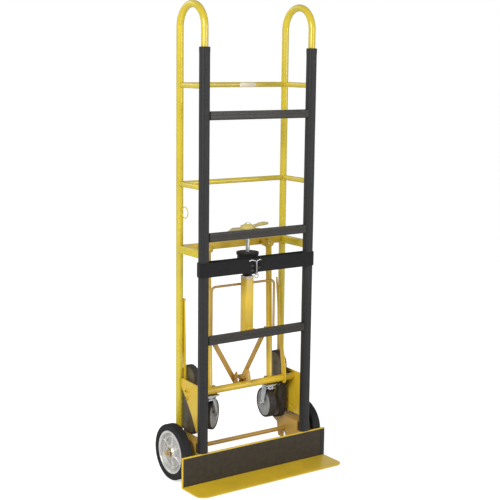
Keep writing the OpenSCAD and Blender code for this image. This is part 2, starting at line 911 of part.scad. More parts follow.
module caster_fork(side, angle) {
    leg_t = 3;
    gap = caster_w + 5;
    crown_z = caster_z - 18;
    color(CHROME) at_caster(side, angle) {
        difference() {
            union() {
                translate([0, 0, crown_z]) cylinder(d = 48, h = 5);
                translate([-12, -gap / 2 - leg_t, crown_z]) cube([36, gap + 2 * leg_t, 5]);
            }
            translate([0, 0, crown_z - 1]) cylinder(d = 12 + 2 * run, h = 8);
        }
        for (s = [-1, 1])
            translate([0, s * (gap + leg_t) / 2 + leg_t / 2, 0]) rotate([90, 0, 0])
                linear_extrude(leg_t) {
                    polygon([
                        [-12, crown_z + 0.5], [24, crown_z + 0.5],
                        [caster_trail + 10, caster_axle_z], [caster_trail - 10, caster_axle_z]
                    ]);
                    translate([caster_trail, caster_axle_z]) circle(r = 10);
                }
        translate([caster_trail, -gap / 2 - leg_t - 5, caster_axle_z]) rotate([-90, 0, 0])
            cylinder(d = 8, h = gap + 2 * leg_t + 10);
        for (s = [-1, 1])
            translate([caster_trail, s * (gap / 2 + leg_t + 2.4) - 2.4, caster_axle_z])
                rotate([-90, 0, 0]) cylinder(d = 15, h = 4.8, $fn = 6);
    }
}

module caster_wheel(side, angle) {
    r = caster_d / 2;
    edge = 5;
    color(RUBBER) at_caster(side, angle)
        translate([caster_trail, 0, caster_axle_z]) rotate([90, 0, 0])
            rotate_extrude($fn = 96) difference() {
                union() {
                    translate([4 + run, -caster_w / 2 - 1.5]) square([12, caster_w + 3]);
                    translate([4 + run, -caster_w / 2 + 3]) square([r - 14, caster_w - 6]);
                    translate([r - 16, -caster_w / 2]) square([16 - edge, caster_w]);
                    translate([r - edge - 1, -caster_w / 2 + edge]) square([edge + 1, caster_w - 2 * edge]);
                    for (s = [-1, 1])
                        translate([r - edge, s * (caster_w / 2 - edge)]) circle(r = edge);
                }
                translate([-1, -caster_w]) square([5 + run, 2 * caster_w]);
            }
}

frame_tube(-1);  // left_frame_tube
frame_tube(1);  // right_frame_tube
rail_cover(-1);  // left_rail_cover
rail_cover(1);  // right_rail_cover
rear_crossbar(upper_bar_z);  // upper_rear_crossbar
rear_crossbar(middle_bar_z);  // middle_rear_crossbar
lower_rear_crossbar();
side_rungs();
front_crossbar(front_bar_z[0]);  // upper_front_crossbar
front_crossbar(front_bar_z[1]);  // middle_front_crossbar
front_crossbar(front_bar_z[2]);  // lower_front_crossbar
label_plate();
toe_plate();
toe_plate_pad();
gusset_plates();
axle_brackets();
main_axle();
axle_spacers();
cotter_pins();
wheel_hub(-1);  // left_wheel_hub
tyre(-1);  // left_tyre
wheel_hub(1);  // right_wheel_hub
tyre(1);  // right_tyre
carriage_stop_tube();
side_struts();
carriage_guide_arm();
climber_frame(-1);  // left_climber_frame
climber_frame(1);  // right_climber_frame
climber_belt(-1);  // left_climber_belt
climber_belt(1);  // right_climber_belt
climber_roller(-1, climber_top_z);  // left_upper_roller
climber_roller(-1, climber_low_z);  // left_lower_roller
climber_roller(1, climber_top_z);  // right_upper_roller
climber_roller(1, climber_low_z);  // right_lower_roller
centre_post();
recoil_case();
ratchet_bracket();
ratchet_shaft();
belt_spool();
belt_roll();
ratchet_wheel();
ratchet_lever();
ratchet_pawl();
strap(-1);  // left_strap
strap(1);  // right_strap
strap_clips();
strap_pin();
pin_ring();
wire_keeper();
hinge_lugs();
carriage_frame();
v_brace();
grab_bail();
latch_bracket();
carriage_latch();
caster_plates();
caster_fork(-1, left_trail_angle);  // left_caster_fork
caster_fork(1, right_trail_angle);  // right_caster_fork
caster_wheel(-1, left_trail_angle);  // left_caster_wheel
caster_wheel(1, right_trail_angle);  // right_caster_wheel
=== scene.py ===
"""Convertible hand truck: the visual model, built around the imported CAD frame."""
import json
import math

import bmesh
import bpy
from mathutils import Matrix, Vector, noise


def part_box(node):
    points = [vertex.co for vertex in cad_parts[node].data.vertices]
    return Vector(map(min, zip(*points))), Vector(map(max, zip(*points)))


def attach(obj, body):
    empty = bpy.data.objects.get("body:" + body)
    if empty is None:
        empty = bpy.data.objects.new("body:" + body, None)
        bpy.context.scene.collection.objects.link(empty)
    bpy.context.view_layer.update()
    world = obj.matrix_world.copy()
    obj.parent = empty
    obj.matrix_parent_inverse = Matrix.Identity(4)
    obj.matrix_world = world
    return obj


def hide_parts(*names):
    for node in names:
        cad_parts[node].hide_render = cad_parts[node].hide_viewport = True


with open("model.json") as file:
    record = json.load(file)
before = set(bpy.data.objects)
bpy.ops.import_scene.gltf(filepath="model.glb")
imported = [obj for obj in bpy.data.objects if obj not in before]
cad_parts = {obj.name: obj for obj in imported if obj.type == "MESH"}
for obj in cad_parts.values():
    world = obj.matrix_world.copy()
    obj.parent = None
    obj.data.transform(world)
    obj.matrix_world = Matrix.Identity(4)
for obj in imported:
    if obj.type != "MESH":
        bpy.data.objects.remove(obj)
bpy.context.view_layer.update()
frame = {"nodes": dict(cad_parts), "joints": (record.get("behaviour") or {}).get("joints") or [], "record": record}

MM = 0.001
X, Y, Z = Vector((1, 0, 0)), Vector((0, 1, 0)), Vector((0, 0, 1))
scene = bpy.context.scene


# ---------------------------------------------------------------- materials

class Nodes:
    """A material's node tree, with short calls for the nodes that the recipes share."""

    def __init__(self, name):
        self.material = bpy.data.materials.new(name)
        self.material.use_nodes = True
        self.tree = self.material.node_tree
        self.shader = self.tree.nodes["Principled BSDF"]
        self.place = self.add("ShaderNodeTexCoord").outputs["Object"]

    def add(self, kind, **settings):
        made = self.tree.nodes.new(kind)
        for key, value in settings.items():
            setattr(made, key, value)
        return made

    def link(self, source, target):
        self.tree.links.new(source, target)

    def put(self, made, **values):
        """Sets or links a node's inputs by name, with _ for a space."""
        for key, value in values.items():
            socket = made.inputs[key.replace("_", " ")]
            if isinstance(value, bpy.types.NodeSocket):
                self.link(value, socket)
            else:
                socket.default_value = value
        return made

    def noise(self, scale, detail=3.0, stretch=(1, 1, 1)):
        mapping = self.put(self.add("ShaderNodeMapping"), Vector=self.place, Scale=stretch)
        texture = self.add("ShaderNodeTexNoise")
        self.put(texture, Vector=mapping.outputs[0], Scale=scale, Detail=detail)
        return texture.outputs["Fac"]

    def cells(self, scale, stretch=(1, 1, 1)):
        mapping = self.put(self.add("ShaderNodeMapping"), Vector=self.place, Scale=stretch)
        texture = self.add("ShaderNodeTexVoronoi", feature="DISTANCE_TO_EDGE")
        self.put(texture, Vector=mapping.outputs[0], Scale=scale)
        return texture.outputs["Distance"]

    def scaled(self, value, low, high, from_low=0.3, from_high=0.7):
        ranged = self.add("ShaderNodeMapRange")
        self.put(ranged, Value=value, From_Min=from_low, From_Max=from_high, To_Min=low, To_Max=high)
        return ranged.outputs["Result"]

    def blend(self, factor, first, second):
        mixed = self.add("ShaderNodeMix", data_type="RGBA")
        sockets = (mixed.inputs[0], mixed.inputs[6], mixed.inputs[7])
        for socket, value in zip(sockets, (factor, first, second)):
            if isinstance(value, bpy.types.NodeSocket):
                self.link(value, socket)
            else:
                socket.default_value = value if isinstance(value, float) else (*value, 1.0)
        return mixed.outputs[2]

    def bump(self, height, depth_mm, strength=1.0, under=None):
        made = self.add("ShaderNodeBump")
        self.put(made, Height=height, Distance=depth_mm * MM, Strength=strength)
        if under is not None:
            self.link(under, made.inputs["Normal"])
        return made.outputs["Normal"]

    def edge_wear(self, radius_mm, low=0.0, high=0.35):
        """0 on flat faces, rising to 1 along sharp outer edges."""
        bevel = self.add("ShaderNodeBevel", samples=4)
        bevel.inputs["Radius"].default_value = radius_mm * MM
        normal = self.add("ShaderNodeNewGeometry").outputs["Normal"]
        dot = self.add("ShaderNodeVectorMath", operation="DOT_PRODUCT")
        self.link(bevel.outputs[0], dot.inputs[0])
        self.link(normal, dot.inputs[1])
        apart = self.add("ShaderNodeMath", operation="SUBTRACT")
        apart.inputs[0].default_value = 1.0
        self.link(dot.outputs["Value"], apart.inputs[1])
        return self.scaled(apart.outputs[0], low, 1.0, 0.02, high)

    def times(self, first, second):
        made = self.add("ShaderNodeMath", operation="MULTIPLY")
        for socket, value in zip(made.inputs, (first, second)):
            if isinstance(value, bpy.types.NodeSocket):
                self.link(value, socket)
            else:
                socket.default_value = value
        return made.outputs[0]

    def surface(self, **values):
        self.put(self.shader, **values)
        return self.material


def shade_of(colour, factor):
    """A colour made darker or lighter."""
    return tuple(min(1.0, c * factor) for c in colour)


def enamel(name, colour, roughness=0.30, coat=0.45):
    """Brushed-on gloss enamel: orange peel, slight runs, worn edges and a little grime."""
    n = Nodes(name)
    tone = n.scaled(n.noise(9, 4), 0.0, 1.0)
    body = n.blend(tone, shade_of(colour, 0.90), shade_of(colour, 1.06))
    grime = n.scaled(n.noise(14, 6, (1, 1, 0.35)), 0.0, 0.16, 0.50, 0.80)
    body = n.blend(grime, body, shade_of(colour, 0.66))
    worn = n.times(n.edge_wear(1.2), n.scaled(n.noise(160, 5), 0.0, 0.6, 0.50, 0.66))
    body = n.blend(worn, body, (0.30, 0.27, 0.22))
    peel = n.bump(n.noise(620, 2), 0.05, 0.22)
    runs = n.bump(n.noise(38, 2, (1, 1, 0.25)), 0.30, 0.14, peel)
    return n.surface(
        Base_Color=body, Roughness=n.scaled(n.noise(90, 4), roughness - 0.05, roughness + 0.08),
        Coat_Weight=coat, Coat_Roughness=0.09, Normal=runs)


def vinyl(name, colour):
    """Grained vinyl: pebble grain, soft sheen, fine dust in the grain."""
    n = Nodes(name)
    grain = n.cells(620)
    dust = n.scaled(n.noise(24, 5), 0.0, 0.5)
    body = n.blend(dust, colour, shade_of(colour, 1.7))
    body = n.blend(n.edge_wear(1.5), body, shade_of(colour, 2.4))
    soft = n.bump(n.noise(45, 4), 0.5, 0.3)
    return n.surface(
        Base_Color=body, Roughness=n.scaled(n.noise(150, 3), 0.46, 0.62),
        Normal=n.bump(n.scaled(grain, 0.0, 1.0, 0.0, 0.25), 0.18, 0.5, soft),
        Sheen_Weight=0.12, Specular_IOR_Level=0.42)


def rubber(name, colour, roughness=0.72, dusty=0.45):
    """Moulded rubber: mottled, matt, with pale scuffs on its edges."""
    n = Nodes(name)
    mottle = n.scaled(n.noise(60, 6), 0.0, 1.0)
    body = n.blend(mottle, shade_of(colour, 0.8), shade_of(colour, 1.25))
    scuff = n.scaled(n.noise(210, 5), 0.0, dusty, 0.48, 0.70)
    body = n.blend(scuff, body, shade_of(colour, 2.6))
    fine = n.bump(n.noise(900, 3), 0.08, 0.6)
    return n.surface(
        Base_Color=body, Roughness=n.scaled(n.noise(120, 3), roughness - 0.08, roughness + 0.1),
        Normal=n.bump(n.noise(140, 5), 0.25, 0.3, fine), Specular_IOR_Level=0.35)


def cast_metal(name, colour, roughness=0.42, metallic=0.75):
    """Sand-cast or rolled bare metal: pitted, dull, brighter where it has been rubbed."""
    n = Nodes(name)
    patch = n.scaled(n.noise(40, 6), 0.0, 1.0)
    body = n.blend(patch, shade_of(colour, 0.82), shade_of(colour, 1.12))
    body = n.blend(n.edge_wear(1.0), body, shade_of(colour, 1.35))
    pits = n.bump(n.noise(480, 6), 0.16, 0.7)
    return n.surface(
        Base_Color=body, Metallic=metallic,
        Roughness=n.scaled(n.noise(85, 5), roughness - 0.1, roughness + 0.14), Normal=pits)


def plated(name, colour, roughness=0.16):
    """Bright plating: near mirror, with faint streaks and dulled patches."""
    n = Nodes(name)
    streak = n.noise(200, 4, (1, 1, 0.06))
    cloudy = n.scaled(n.noise(55, 5), 0.0, 1.0)
    body = n.blend(cloudy, shade_of(colour, 0.86), colour)
    return n.surface(
        Base_Color=body, Metallic=1.0, Roughness=n.scaled(streak, roughness * 0.6, roughness * 2.0),
        Normal=n.bump(n.noise(700, 2), 0.03, 0.4))


def plastic(name, colour, roughness=0.42):
    """Moulded plastic with a fine spark-eroded texture."""
    n = Nodes(name)
    tone = n.scaled(n.noise(30, 4), 0.0, 1.0)
    body = n.blend(tone, shade_of(colour, 0.85), shade_of(colour, 1.3))
    body = n.blend(n.edge_wear(1.0), body, shade_of(colour, 2.5))
    return n.surface(
        Base_Color=body, Roughness=n.scaled(n.noise(300, 3), roughness - 0.06, roughness + 0.1),
        Normal=n.bump(n.noise(1400, 2), 0.06, 0.6), Specular_IOR_Level=0.3)


def webbing(name, colour):
    """Woven nylon: warp ribs along the strap, weft across it, fuzz and sheen. UVs are in metres."""
    n = Nodes(name)
    uv = n.add("ShaderNodeTexCoord").outputs["UV"]
    heights = []
    for direction, pitch_mm in (("Y", 3.2), ("X", 2.4)):
        wave = n.add(
            "ShaderNodeTexWave", wave_type="BANDS", bands_direction=direction, wave_profile="SIN")
        n.put(wave, Vector=uv, Scale=math.tau / (20 * pitch_mm * MM), Distortion=0.4, Detail=1.0)
        heights.append(wave.outputs["Fac"])
    weave = n.times(heights[0], heights[1])
    tone = n.scaled(n.noise(70, 5), 0.0, 1.0)
    body = n.blend(n.scaled(weave, 0.0, 1.0, 0.0, 1.0), shade_of(colour, 0.65), shade_of(colour, 1.7))
    body = n.blend(n.times(tone, 0.35), body, shade_of(colour, 2.3))
    return n.surface(
        Base_Color=body, Roughness=0.82, Sheen_Weight=0.12, Sheen_Roughness=0.5,
        Normal=n.bump(weave, 0.35, 0.8), Specular_IOR_Level=0.3)


YELLOW = enamel("yellow_enamel", (0.66, 0.515, 0.020), roughness=0.26, coat=0.6)
AMBER = enamel("amber_enamel", (0.72, 0.485, 0.024), roughness=0.34, coat=0.3)
GOLD = enamel("gold_enamel", (0.53, 0.315, 0.055), roughness=0.38, coat=0.2)
CREAM = enamel("cream_enamel", (0.72, 0.64, 0.47), roughness=0.34, coat=0.2)
FADED = enamel("faded_enamel", (0.66, 0.56, 0.17), roughness=0.40, coat=0.2)
BLACK = enamel("black_enamel", (0.025, 0.022, 0.018), roughness=0.48, coat=0.08)
COVER = vinyl("grained_vinyl", (0.0098, 0.0098, 0.0102))
PAD = rubber("moulded_pad", (0.040, 0.032, 0.023), roughness=0.66, dusty=0.18)
TYRE = rubber("moulded_tyre", (0.012, 0.012, 0.013), dusty=0.3)
CASTER_RUBBER = rubber("moulded_caster_tread", (0.034, 0.028, 0.024), roughness=0.66)
ALLOY = cast_metal("cast_aluminium", (0.80, 0.79, 0.76), roughness=0.34)
# Cast aluminium toned down to mid grey: painted shade for the recesses of the wheels' dished webs.
SHADED_WEB = cast_metal("cast_web_painted_shade", (0.50, 0.49, 0.47), roughness=0.50, metallic=0.5)
GREY_METAL = cast_metal("grey_pressing", (0.38, 0.385, 0.38), roughness=0.42, metallic=0.35)
DARK_METAL = cast_metal("dark_pressing", (0.155, 0.130, 0.078), roughness=0.50, metallic=0.4)
ZINC = plated("zinc_plate", (0.72, 0.73, 0.74), roughness=0.24)
# Chrome's base colour darkened to grey: a painted dark reflection of the surroundings.
SHADED_CHROME = plated("chrome_plate_dark_reflection", (0.60, 0.61, 0.63), roughness=0.14)
# Wire steel's grey darkened further: a painted dark reflection of the surroundings.
SHADED_STEEL = plated("wire_steel_dark_reflection", (0.34, 0.34, 0.35), roughness=0.22)
BRASSY = plated("yellow_zinc", (0.72, 0.58, 0.30), roughness=0.26)
PLASTIC = plastic("moulded_plastic", (0.0075, 0.0072, 0.0070), roughness=0.55)
WEBBING = webbing("nylon_webbing", (0.0055, 0.0055, 0.0060))
THREAD = rubber("sewing_thread", (0.035, 0.035, 0.035), roughness=0.6, dusty=0.1)


# ---------------------------------------------------------------- mesh tools

def piece(name, bm, body, material, replaces=(), sharp=35.0):
    """Turns a bmesh into a piece that rides on a body, smooth except at edges over the sharp angle."""
    bmesh.ops.recalc_face_normals(bm, faces=bm.faces)
    mesh = bpy.data.meshes.new(name)
    bm.to_mesh(mesh)
    bm.free()
    mesh.materials.append(material)
    mesh.polygons.foreach_set("use_smooth", [True] * len(mesh.polygons))
    mesh.set_sharp_from_angle(angle=math.radians(sharp))
    made = bpy.data.objects.new(name, mesh)
    scene.collection.objects.link(made)
    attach(made, body)
    if replaces:
        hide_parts(*replaces)
    return made


def body_of_node(node):
    """The body that a CAD node belongs to."""
    for body, members in frame["record"]["behaviour"]["bodies"].items():
        if node in members:
            return body


def refined(node, material, edge_mm=0.8):
    """The CAD node's own shape with its hard edges rounded, as a new piece in its place."""
    bm = bmesh.new()
    bm.from_mesh(frame["nodes"][node].data)
    bmesh.ops.remove_doubles(bm, verts=bm.verts, dist=0.00001)
    bmesh.ops.dissolve_limit(
        bm, angle_limit=math.radians(0.5), verts=bm.verts, edges=bm.edges, delimit={"NORMAL"})
    hard = [e for e in bm.edges if len(e.link_faces) == 2 and e.calc_face_angle() > math.radians(40)]
    bmesh.ops.bevel(
        bm, geom=hard, offset=edge_mm * MM, segments=2, profile=0.6, affect="EDGES", clamp_overlap=True)
    bmesh.ops.remove_doubles(bm, verts=bm.verts, dist=0.000004)
    return piece(node + "_finished", bm, body_of_node(node), material, (node,))


def frame_at(direction, up):
    """Side and up vectors square to a direction."""
    side = up.cross(direction)
    if side.length < 1e-6:
        side = X.cross(direction) if abs(direction.x) < 0.9 else Y.cross(direction)
    side.normalize()
    return side, direction.cross(side).normalized()


def skin(bm, rings, closed_path=False):
    """Joins rings of points, all the same length, into a tube."""
    made = [[bm.verts.new(p) for p in ring] for ring in rings]
    count = len(made[0])
    spans = len(made) if closed_path else len(made) - 1
    for i in range(spans):
        a, b = made[i], made[(i + 1) % len(made)]
        for k in range(count):
            bm.faces.new((a[k], a[(k + 1) % count], b[(k + 1) % count], b[k]))
    if not closed_path:
        bm.faces.new(list(reversed(made[0])))
        bm.faces.new(made[-1])
    return made


def sweep(bm, path, profile, up=Z, size=None):
    """Carries a profile of (side, up) points along a path. size(i) scales it at point i."""
    rings = []
    for i, point in enumerate(path):
        direction = (path[min(i + 1, len(path) - 1)] - path[max(i - 1, 0)]).normalized()
        side, rise = frame_at(direction, up)
        k = size(i) if size else 1.0
        rings.append([point + side * s * k + rise * u * k for s, u in profile])
    skin(bm, rings)


def circle(radius, count=16):
    """Profile points of a circle."""
    return [(radius * math.cos(math.tau * i / count), radius * math.sin(math.tau * i / count))
            for i in range(count)]


def rounded_rect(width, height, radius, per_corner=6):
    """Profile points of a rectangle with round corners."""
    points = []
    for cx, cy, start in ((1, 1, 0), (-1, 1, 90), (-1, -1, 180), (1, -1, 270)):
        for i in range(per_corner + 1):
            a = math.radians(start + 90 * i / per_corner)
            points.append((cx * (width / 2 - radius) + radius * math.cos(a),
                           cy * (height / 2 - radius) + radius * math.sin(a)))
    return points


def arc(centre, radius, start, end, first, second, count=12):
    """Points round a centre from one angle to another, in the plane of two unit vectors."""
    points = []
    for i in range(count + 1):
        a = math.radians(start + (end - start) * i / count)
        points.append(centre + first * radius * math.cos(a) + second * radius * math.sin(a))
    return points


def lathe(bm, profile, origin, axis, segments=96):
    """Revolves a closed profile of (radius, along) points about an axis."""
    first, second = frame_at(axis, Z if abs(axis.z) < 0.9 else Y)
    rings = []
    for i in range(segments):
        a = math.tau * i / segments
        out = first * math.cos(a) + second * math.sin(a)
        rings.append([origin + out * r + axis * h for r, h in profile])
    skin(bm, rings, closed_path=True)


def disc(bm, radius, low, high, origin, axis, segments=48, chamfer=0.0):
    """A closed short cylinder from low to high along an axis, with chamfered rims."""
    side, rise = frame_at(axis, Z if abs(axis.z) < 0.9 else Y)
    rings = []
    steps = [(radius, low), (radius, high)]
    if chamfer:
        steps = [(radius - chamfer, low), (radius, low + chamfer),
                 (radius, high - chamfer), (radius - chamfer, high)]
    for r, h in steps:
        rings.append([origin + axis * h + side * s * r + rise * u * r for s, u in circle(1.0, segments)])
    skin(bm, rings)


def hex_bolt(bm, at, axis, across, height, washer=0.0):
    """A bolt head with a domed top, and a washer under it, standing on a surface at a point."""
    if washer:
        disc(bm, across * 0.72, -0.2 * MM, washer, at, axis, 32, 0.3 * MM)
    across_corners = across / math.cos(math.radians(30)) / 2
    disc(bm, across_corners, washer, height, at, axis, 6, 0.0)
    disc(bm, across / 2 * 0.86, height, height + 0.5 * MM, at, axis, 24, 0.3 * MM)


def weld_ring(bm, centre, axis, radius, bead=1.9 * MM, ripples=26):
    """A rippled fillet of weld metal round a bar where it meets another."""
    side, rise = frame_at(axis, Z if abs(axis.z) < 0.9 else Y)
    count = ripples * 3
    rings = []
    for i in range(count):
        a = math.tau * i / count
        out = side * math.cos(a) + rise * math.sin(a)
        k = bead * (1.0 + 0.16 * math.sin(ripples * a) + 0.10 * noise.noise(centre * 40 + out * 3))
        rings.append([centre + out * (radius + s * k) + axis * u * k for s, u in circle(1.0, 8)])
    skin(bm, rings, closed_path=True)


def weld_line(bm, start, end, bead=1.8 * MM):
    """A rippled straight run of weld metal between two points."""
    length = (end - start).length
    count = max(8, int(length / (1.3 * MM)))
    path = [start.lerp(end, i / count) for i in range(count + 1)]

    def size(i):
        ends = min(1.0, 0.35 + i / 3, 0.35 + (count - i) / 3)
        return ends * (1.0 + 0.14 * math.sin(i * 2.1) + 0.12 * noise.noise(path[i] * 60))
    sweep(bm, path, circle(bead, 8), Z if abs((end - start).normalized().z) < 0.9 else Y, size=size)


# ---------------------------------------------------------------- frame

def low(node):
    """The least corner of a CAD node's box."""
    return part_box(node)[0]


def high(node):
    """The greatest corner of a CAD node's box."""
    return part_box(node)[1]


def mid(node):
    """The middle of a CAD node's box."""
    return (low(node) + high(node)) / 2


def joint(name):
    """A joint of the frame, by name."""
    return next(j for j in frame["joints"] if j["name"] == name)


TUBE_R = (high("left_frame_tube").x - low("left_frame_tube").x) / 2
UPRIGHT_Y = high("left_frame_tube").y - TUBE_R
HALF_W = mid("right_frame_tube").x
CARRIAGE_LEG_X = 135 * MM
CLIMBER_BOLT_Y = 111 * MM
CLIMBER_BOLT_Z = (292 * MM, 318 * MM)

for side_name in ("left", "right"):
    refined(side_name + "_frame_tube", YELLOW, 0.5)
for node in ("upper_rear_crossbar", "middle_rear_crossbar", "side_rungs"):
    refined(node, YELLOW)
for node in ("ratchet_bracket", "ratchet_lever"):
    refined(node, FADED)
for node in ("gusset_plates", "side_struts", "hinge_lugs", "carriage_frame", "toe_plate",
             "carriage_guide_arm", "centre_post", "lower_rear_crossbar", "carriage_stop_tube"):
    refined(node, AMBER)
for node in ("axle_brackets", "main_axle", "v_brace", "latch_bracket", "carriage_latch"):
    refined(node, GOLD)
for node in ("cotter_pins", "ratchet_shaft", "ratchet_wheel", "ratchet_pawl", "axle_spacers"):
    refined(node, ZINC, 0.4)
# The forks and caster plates carry the chrome's painted dark reflection.
for node in ("caster_plates", "left_caster_fork", "right_caster_fork"):
    refined(node, SHADED_CHROME, 0.6)
refined("label_plate", CREAM, 0.3)
for node in ("left_climber_frame", "right_climber_frame"):
    refined(node, DARK_METAL, 0.8)
for node in ("recoil_case", "belt_spool", "left_upper_roller", "left_lower_roller",
             "right_upper_roller", "right_lower_roller"):
    refined(node, PLASTIC, 1.2)


def slim_hinge_pins():
    """Takes the pins down inside the carriage eyes, so that no facets touch as the carriage swings."""
    lugs = bpy.data.objects["hinge_lugs_finished"].data
    axis = Vector(joint("carriage_swing")["pos_m"])
    for vertex in lugs.vertices:
        out = Vector((0, vertex.co.y - axis.y, vertex.co.z - axis.z))
        if out.length < 6.6 * MM and 120 * MM < abs(vertex.co.x) < 150 * MM:
            vertex.co -= out * 0.08


slim_hinge_pins()


def build_rail_cover(side_name):
    """Vinyl sleeve round the front rail: soft sides, bound hems, and a sewn seam down the back."""
    node = side_name + "_rail_cover"
    lo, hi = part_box(node)
    centre = (lo + hi) / 2
    inset, hem_h, welt = 0.7 * MM, 24 * MM, 0.6 * MM
    outline = rounded_rect(hi.x - lo.x - 2 * inset, hi.y - lo.y - 2 * inset, 11.5 * MM, 9)
    bore = (hi.x - lo.x) / 2 * 0.71
    heights = [lo.z, lo.z + 0.6 * MM, lo.z + 2 * MM]
    steps = 150
    span = hi.z - lo.z
    heights += [lo.z + 4 * MM + (span - 8 * MM) * i / steps for i in range(steps + 1)]
    heights += [hi.z - 2 * MM, hi.z - 0.6 * MM, hi.z]
    bm = bmesh.new()
    rings = []
    for z in heights:
        from_end = min(z - lo.z, hi.z - z)
        in_hem = from_end < hem_h
        rounding = -1.6 * MM * (1 - min(1.0, from_end / (2 * MM))) ** 2
        groove = -0.9 * MM * math.exp(-((from_end - hem_h) / (1.6 * MM)) ** 2)
        ring = []
        for px, py in outline:
            out = Vector((px, py, 0)).normalized()
            where = Vector((px * 60, py * 60, z * 9 + centre.x * 7))
            ripple = 0 if in_hem else 0.45 * MM * noise.noise(where)
            seam = welt * math.exp(-(px / (2.2 * MM)) ** 2) if py > 0 else 0
            push = (0.35 * MM if in_hem else -0.25 * MM) + rounding + groove + min(0.0, ripple) + seam
            ring.append(Vector((centre.x + px, centre.y + py, z)) + out * push)
        rings.append(ring)
    for z, ring in ((lo.z, rings[0]), (hi.z, rings[-1])):
        inner = []
        for p in ring:
            out = Vector((p.x - centre.x, p.y - centre.y, 0)).normalized()
            inner.append(Vector((centre.x, centre.y, z)) + out * bore)
        rings.insert(0 if z == lo.z else len(rings), inner)
    skin(bm, rings, closed_path=True)
    piece(side_name + "_vinyl_sleeve", bm, "chassis", COVER, (node,), 50)

    bm = bmesh.new()
    pitch, stitch = 7 * MM, 4.6 * MM
    back = hi.y - inset - 0.1 * MM
    for column in (-4.2 * MM, 4.2 * MM):
        for i in range(int((span - 2 * pitch) / pitch)):
            z = lo.z + pitch * (i + 1)
            path = [Vector((centre.x + column, back + dip, z + stitch * t))
                    for t, dip in ((0, -0.7 * MM), (0.2, 0.1 * MM), (0.8, 0.1 * MM), (1, -0.7 * MM))]
            sweep(bm, path, circle(0.4 * MM, 6), Y)
    piece(side_name + "_sleeve_stitching", bm, "chassis", THREAD)


for side_name in ("left", "right"):
    build_rail_cover(side_name)


def build_front_crossbar(which):
    """Black channel bar: a broad face with a shallow groove above its middle, and folded edges."""
    node = which + "_front_crossbar"
    lo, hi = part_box(node)
    half_d, half_h = (hi.y - lo.y) / 2, (hi.z - lo.z) / 2
    r = 4.2 * MM
    back = [(y, z) for y, z in rounded_rect(2 * half_d, 2 * half_h, r, 5) if y > -half_d + r * 0.4]
    back.sort(key=lambda p: -math.atan2(p[1], p[0]))
    groove_top, groove_low, depth = 8.5 * MM, 2.5 * MM, 1.3 * MM
    front = [(-half_d + 1.2 * MM, -half_h + 1.0 * MM), (-half_d + 0.3 * MM, -half_h + 2.6 * MM),
             (-half_d, -half_h + 4.5 * MM), (-half_d, groove_low - 1.4 * MM),
             (-half_d + depth * 0.5, groove_low - 0.5 * MM), (-half_d + depth, groove_low),
             (-half_d + depth, groove_top), (-half_d + depth * 0.5, groove_top + 0.5 * MM),
             (-half_d, groove_top + 1.4 * MM), (-half_d, half_h - 3.0 * MM),
             (-half_d + 0.3 * MM, half_h - 1.6 * MM), (-half_d + 1.2 * MM, half_h - 0.6 * MM)]
    centre = (lo + hi) / 2
    bm = bmesh.new()
    steps = 24
    rings = []
    for i in range(steps + 1):
        x = lo.x + (hi.x - lo.x) * i / steps
        rings.append([Vector((x, centre.y + y, centre.z + z)) for y, z in front + back])
    skin(bm, rings)
    piece(which + "_crossbar_channel", bm, "chassis", BLACK, (node,), 28)


for which in ("upper", "middle", "lower"):
    build_front_crossbar(which)


def build_toe_pad():
    """Rubber facing on the toe plate's upright leg, with a separate darker strip at its right end."""
    lo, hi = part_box("toe_plate_pad")
    strip_w = 15 * MM
    for name, x0, x1, front in (("toe_pad_facing", lo.x, hi.x - strip_w - 0.6 * MM, lo.y + 0.25 * MM),
                                ("toe_pad_end_strip", hi.x - strip_w, high("toe_plate").x, lo.y)):
        columns = max(4, int((x1 - x0) / (9 * MM)))
        rows = 22
        bm = bmesh.new()
        grid = {}
        for i in range(columns + 1):
            for k in range(rows + 1):
                u, v = i / columns, k / rows
                x, z = x0 + (x1 - x0) * u, lo.z + (hi.z - lo.z) * v
                edge = min(u * (x1 - x0), (1 - u) * (x1 - x0), v * (hi.z - lo.z), (1 - v) * (hi.z - lo.z))
                drop = 0.9 * MM * max(0.0, 1 - edge / (2.5 * MM)) ** 2
                wave = 0.25 * MM * (0.5 + 0.5 * noise.noise(Vector((x * 14, z * 22, 3.1))))
                grid[i, k, 0] = bm.verts.new((x, front + drop + wave, z))
                grid[i, k, 1] = bm.verts.new((x, hi.y, z))
        for i in range(columns):
            for k in range(rows):
                for layer in (0, 1):
                    bm.faces.new([grid[i + a, k + b, layer] for a, b in ((0, 0), (1, 0), (1, 1), (0, 1))])
        for i in range(columns):
            for k in (0, rows):
                bm.faces.new([grid[i, k, 0], grid[i + 1, k, 0], grid[i + 1, k, 1], grid[i, k, 1]])
        for k in range(rows):
            for i in (0, columns):
                bm.faces.new([grid[i, k, 0], grid[i, k + 1, 0], grid[i, k + 1, 1], grid[i, k, 1]])
        piece(name, bm, "chassis", PAD if "facing" in name else COVER,
              ("toe_plate_pad",) if "facing" in name else (), 40)


build_toe_pad()


# ---------------------------------------------------------------- main wheels

def tread_corner(wheel_r, half_w, shoulder, steps):
    """Profile points of a tyre's rounded shoulder, from its side wall out to its tread."""
    points = []
    for i in range(steps + 1):
        a = math.radians(90 * i / steps)
        points.append((wheel_r - shoulder + shoulder * math.sin(a),
                       half_w - shoulder + shoulder * math.cos(a)))
    return points


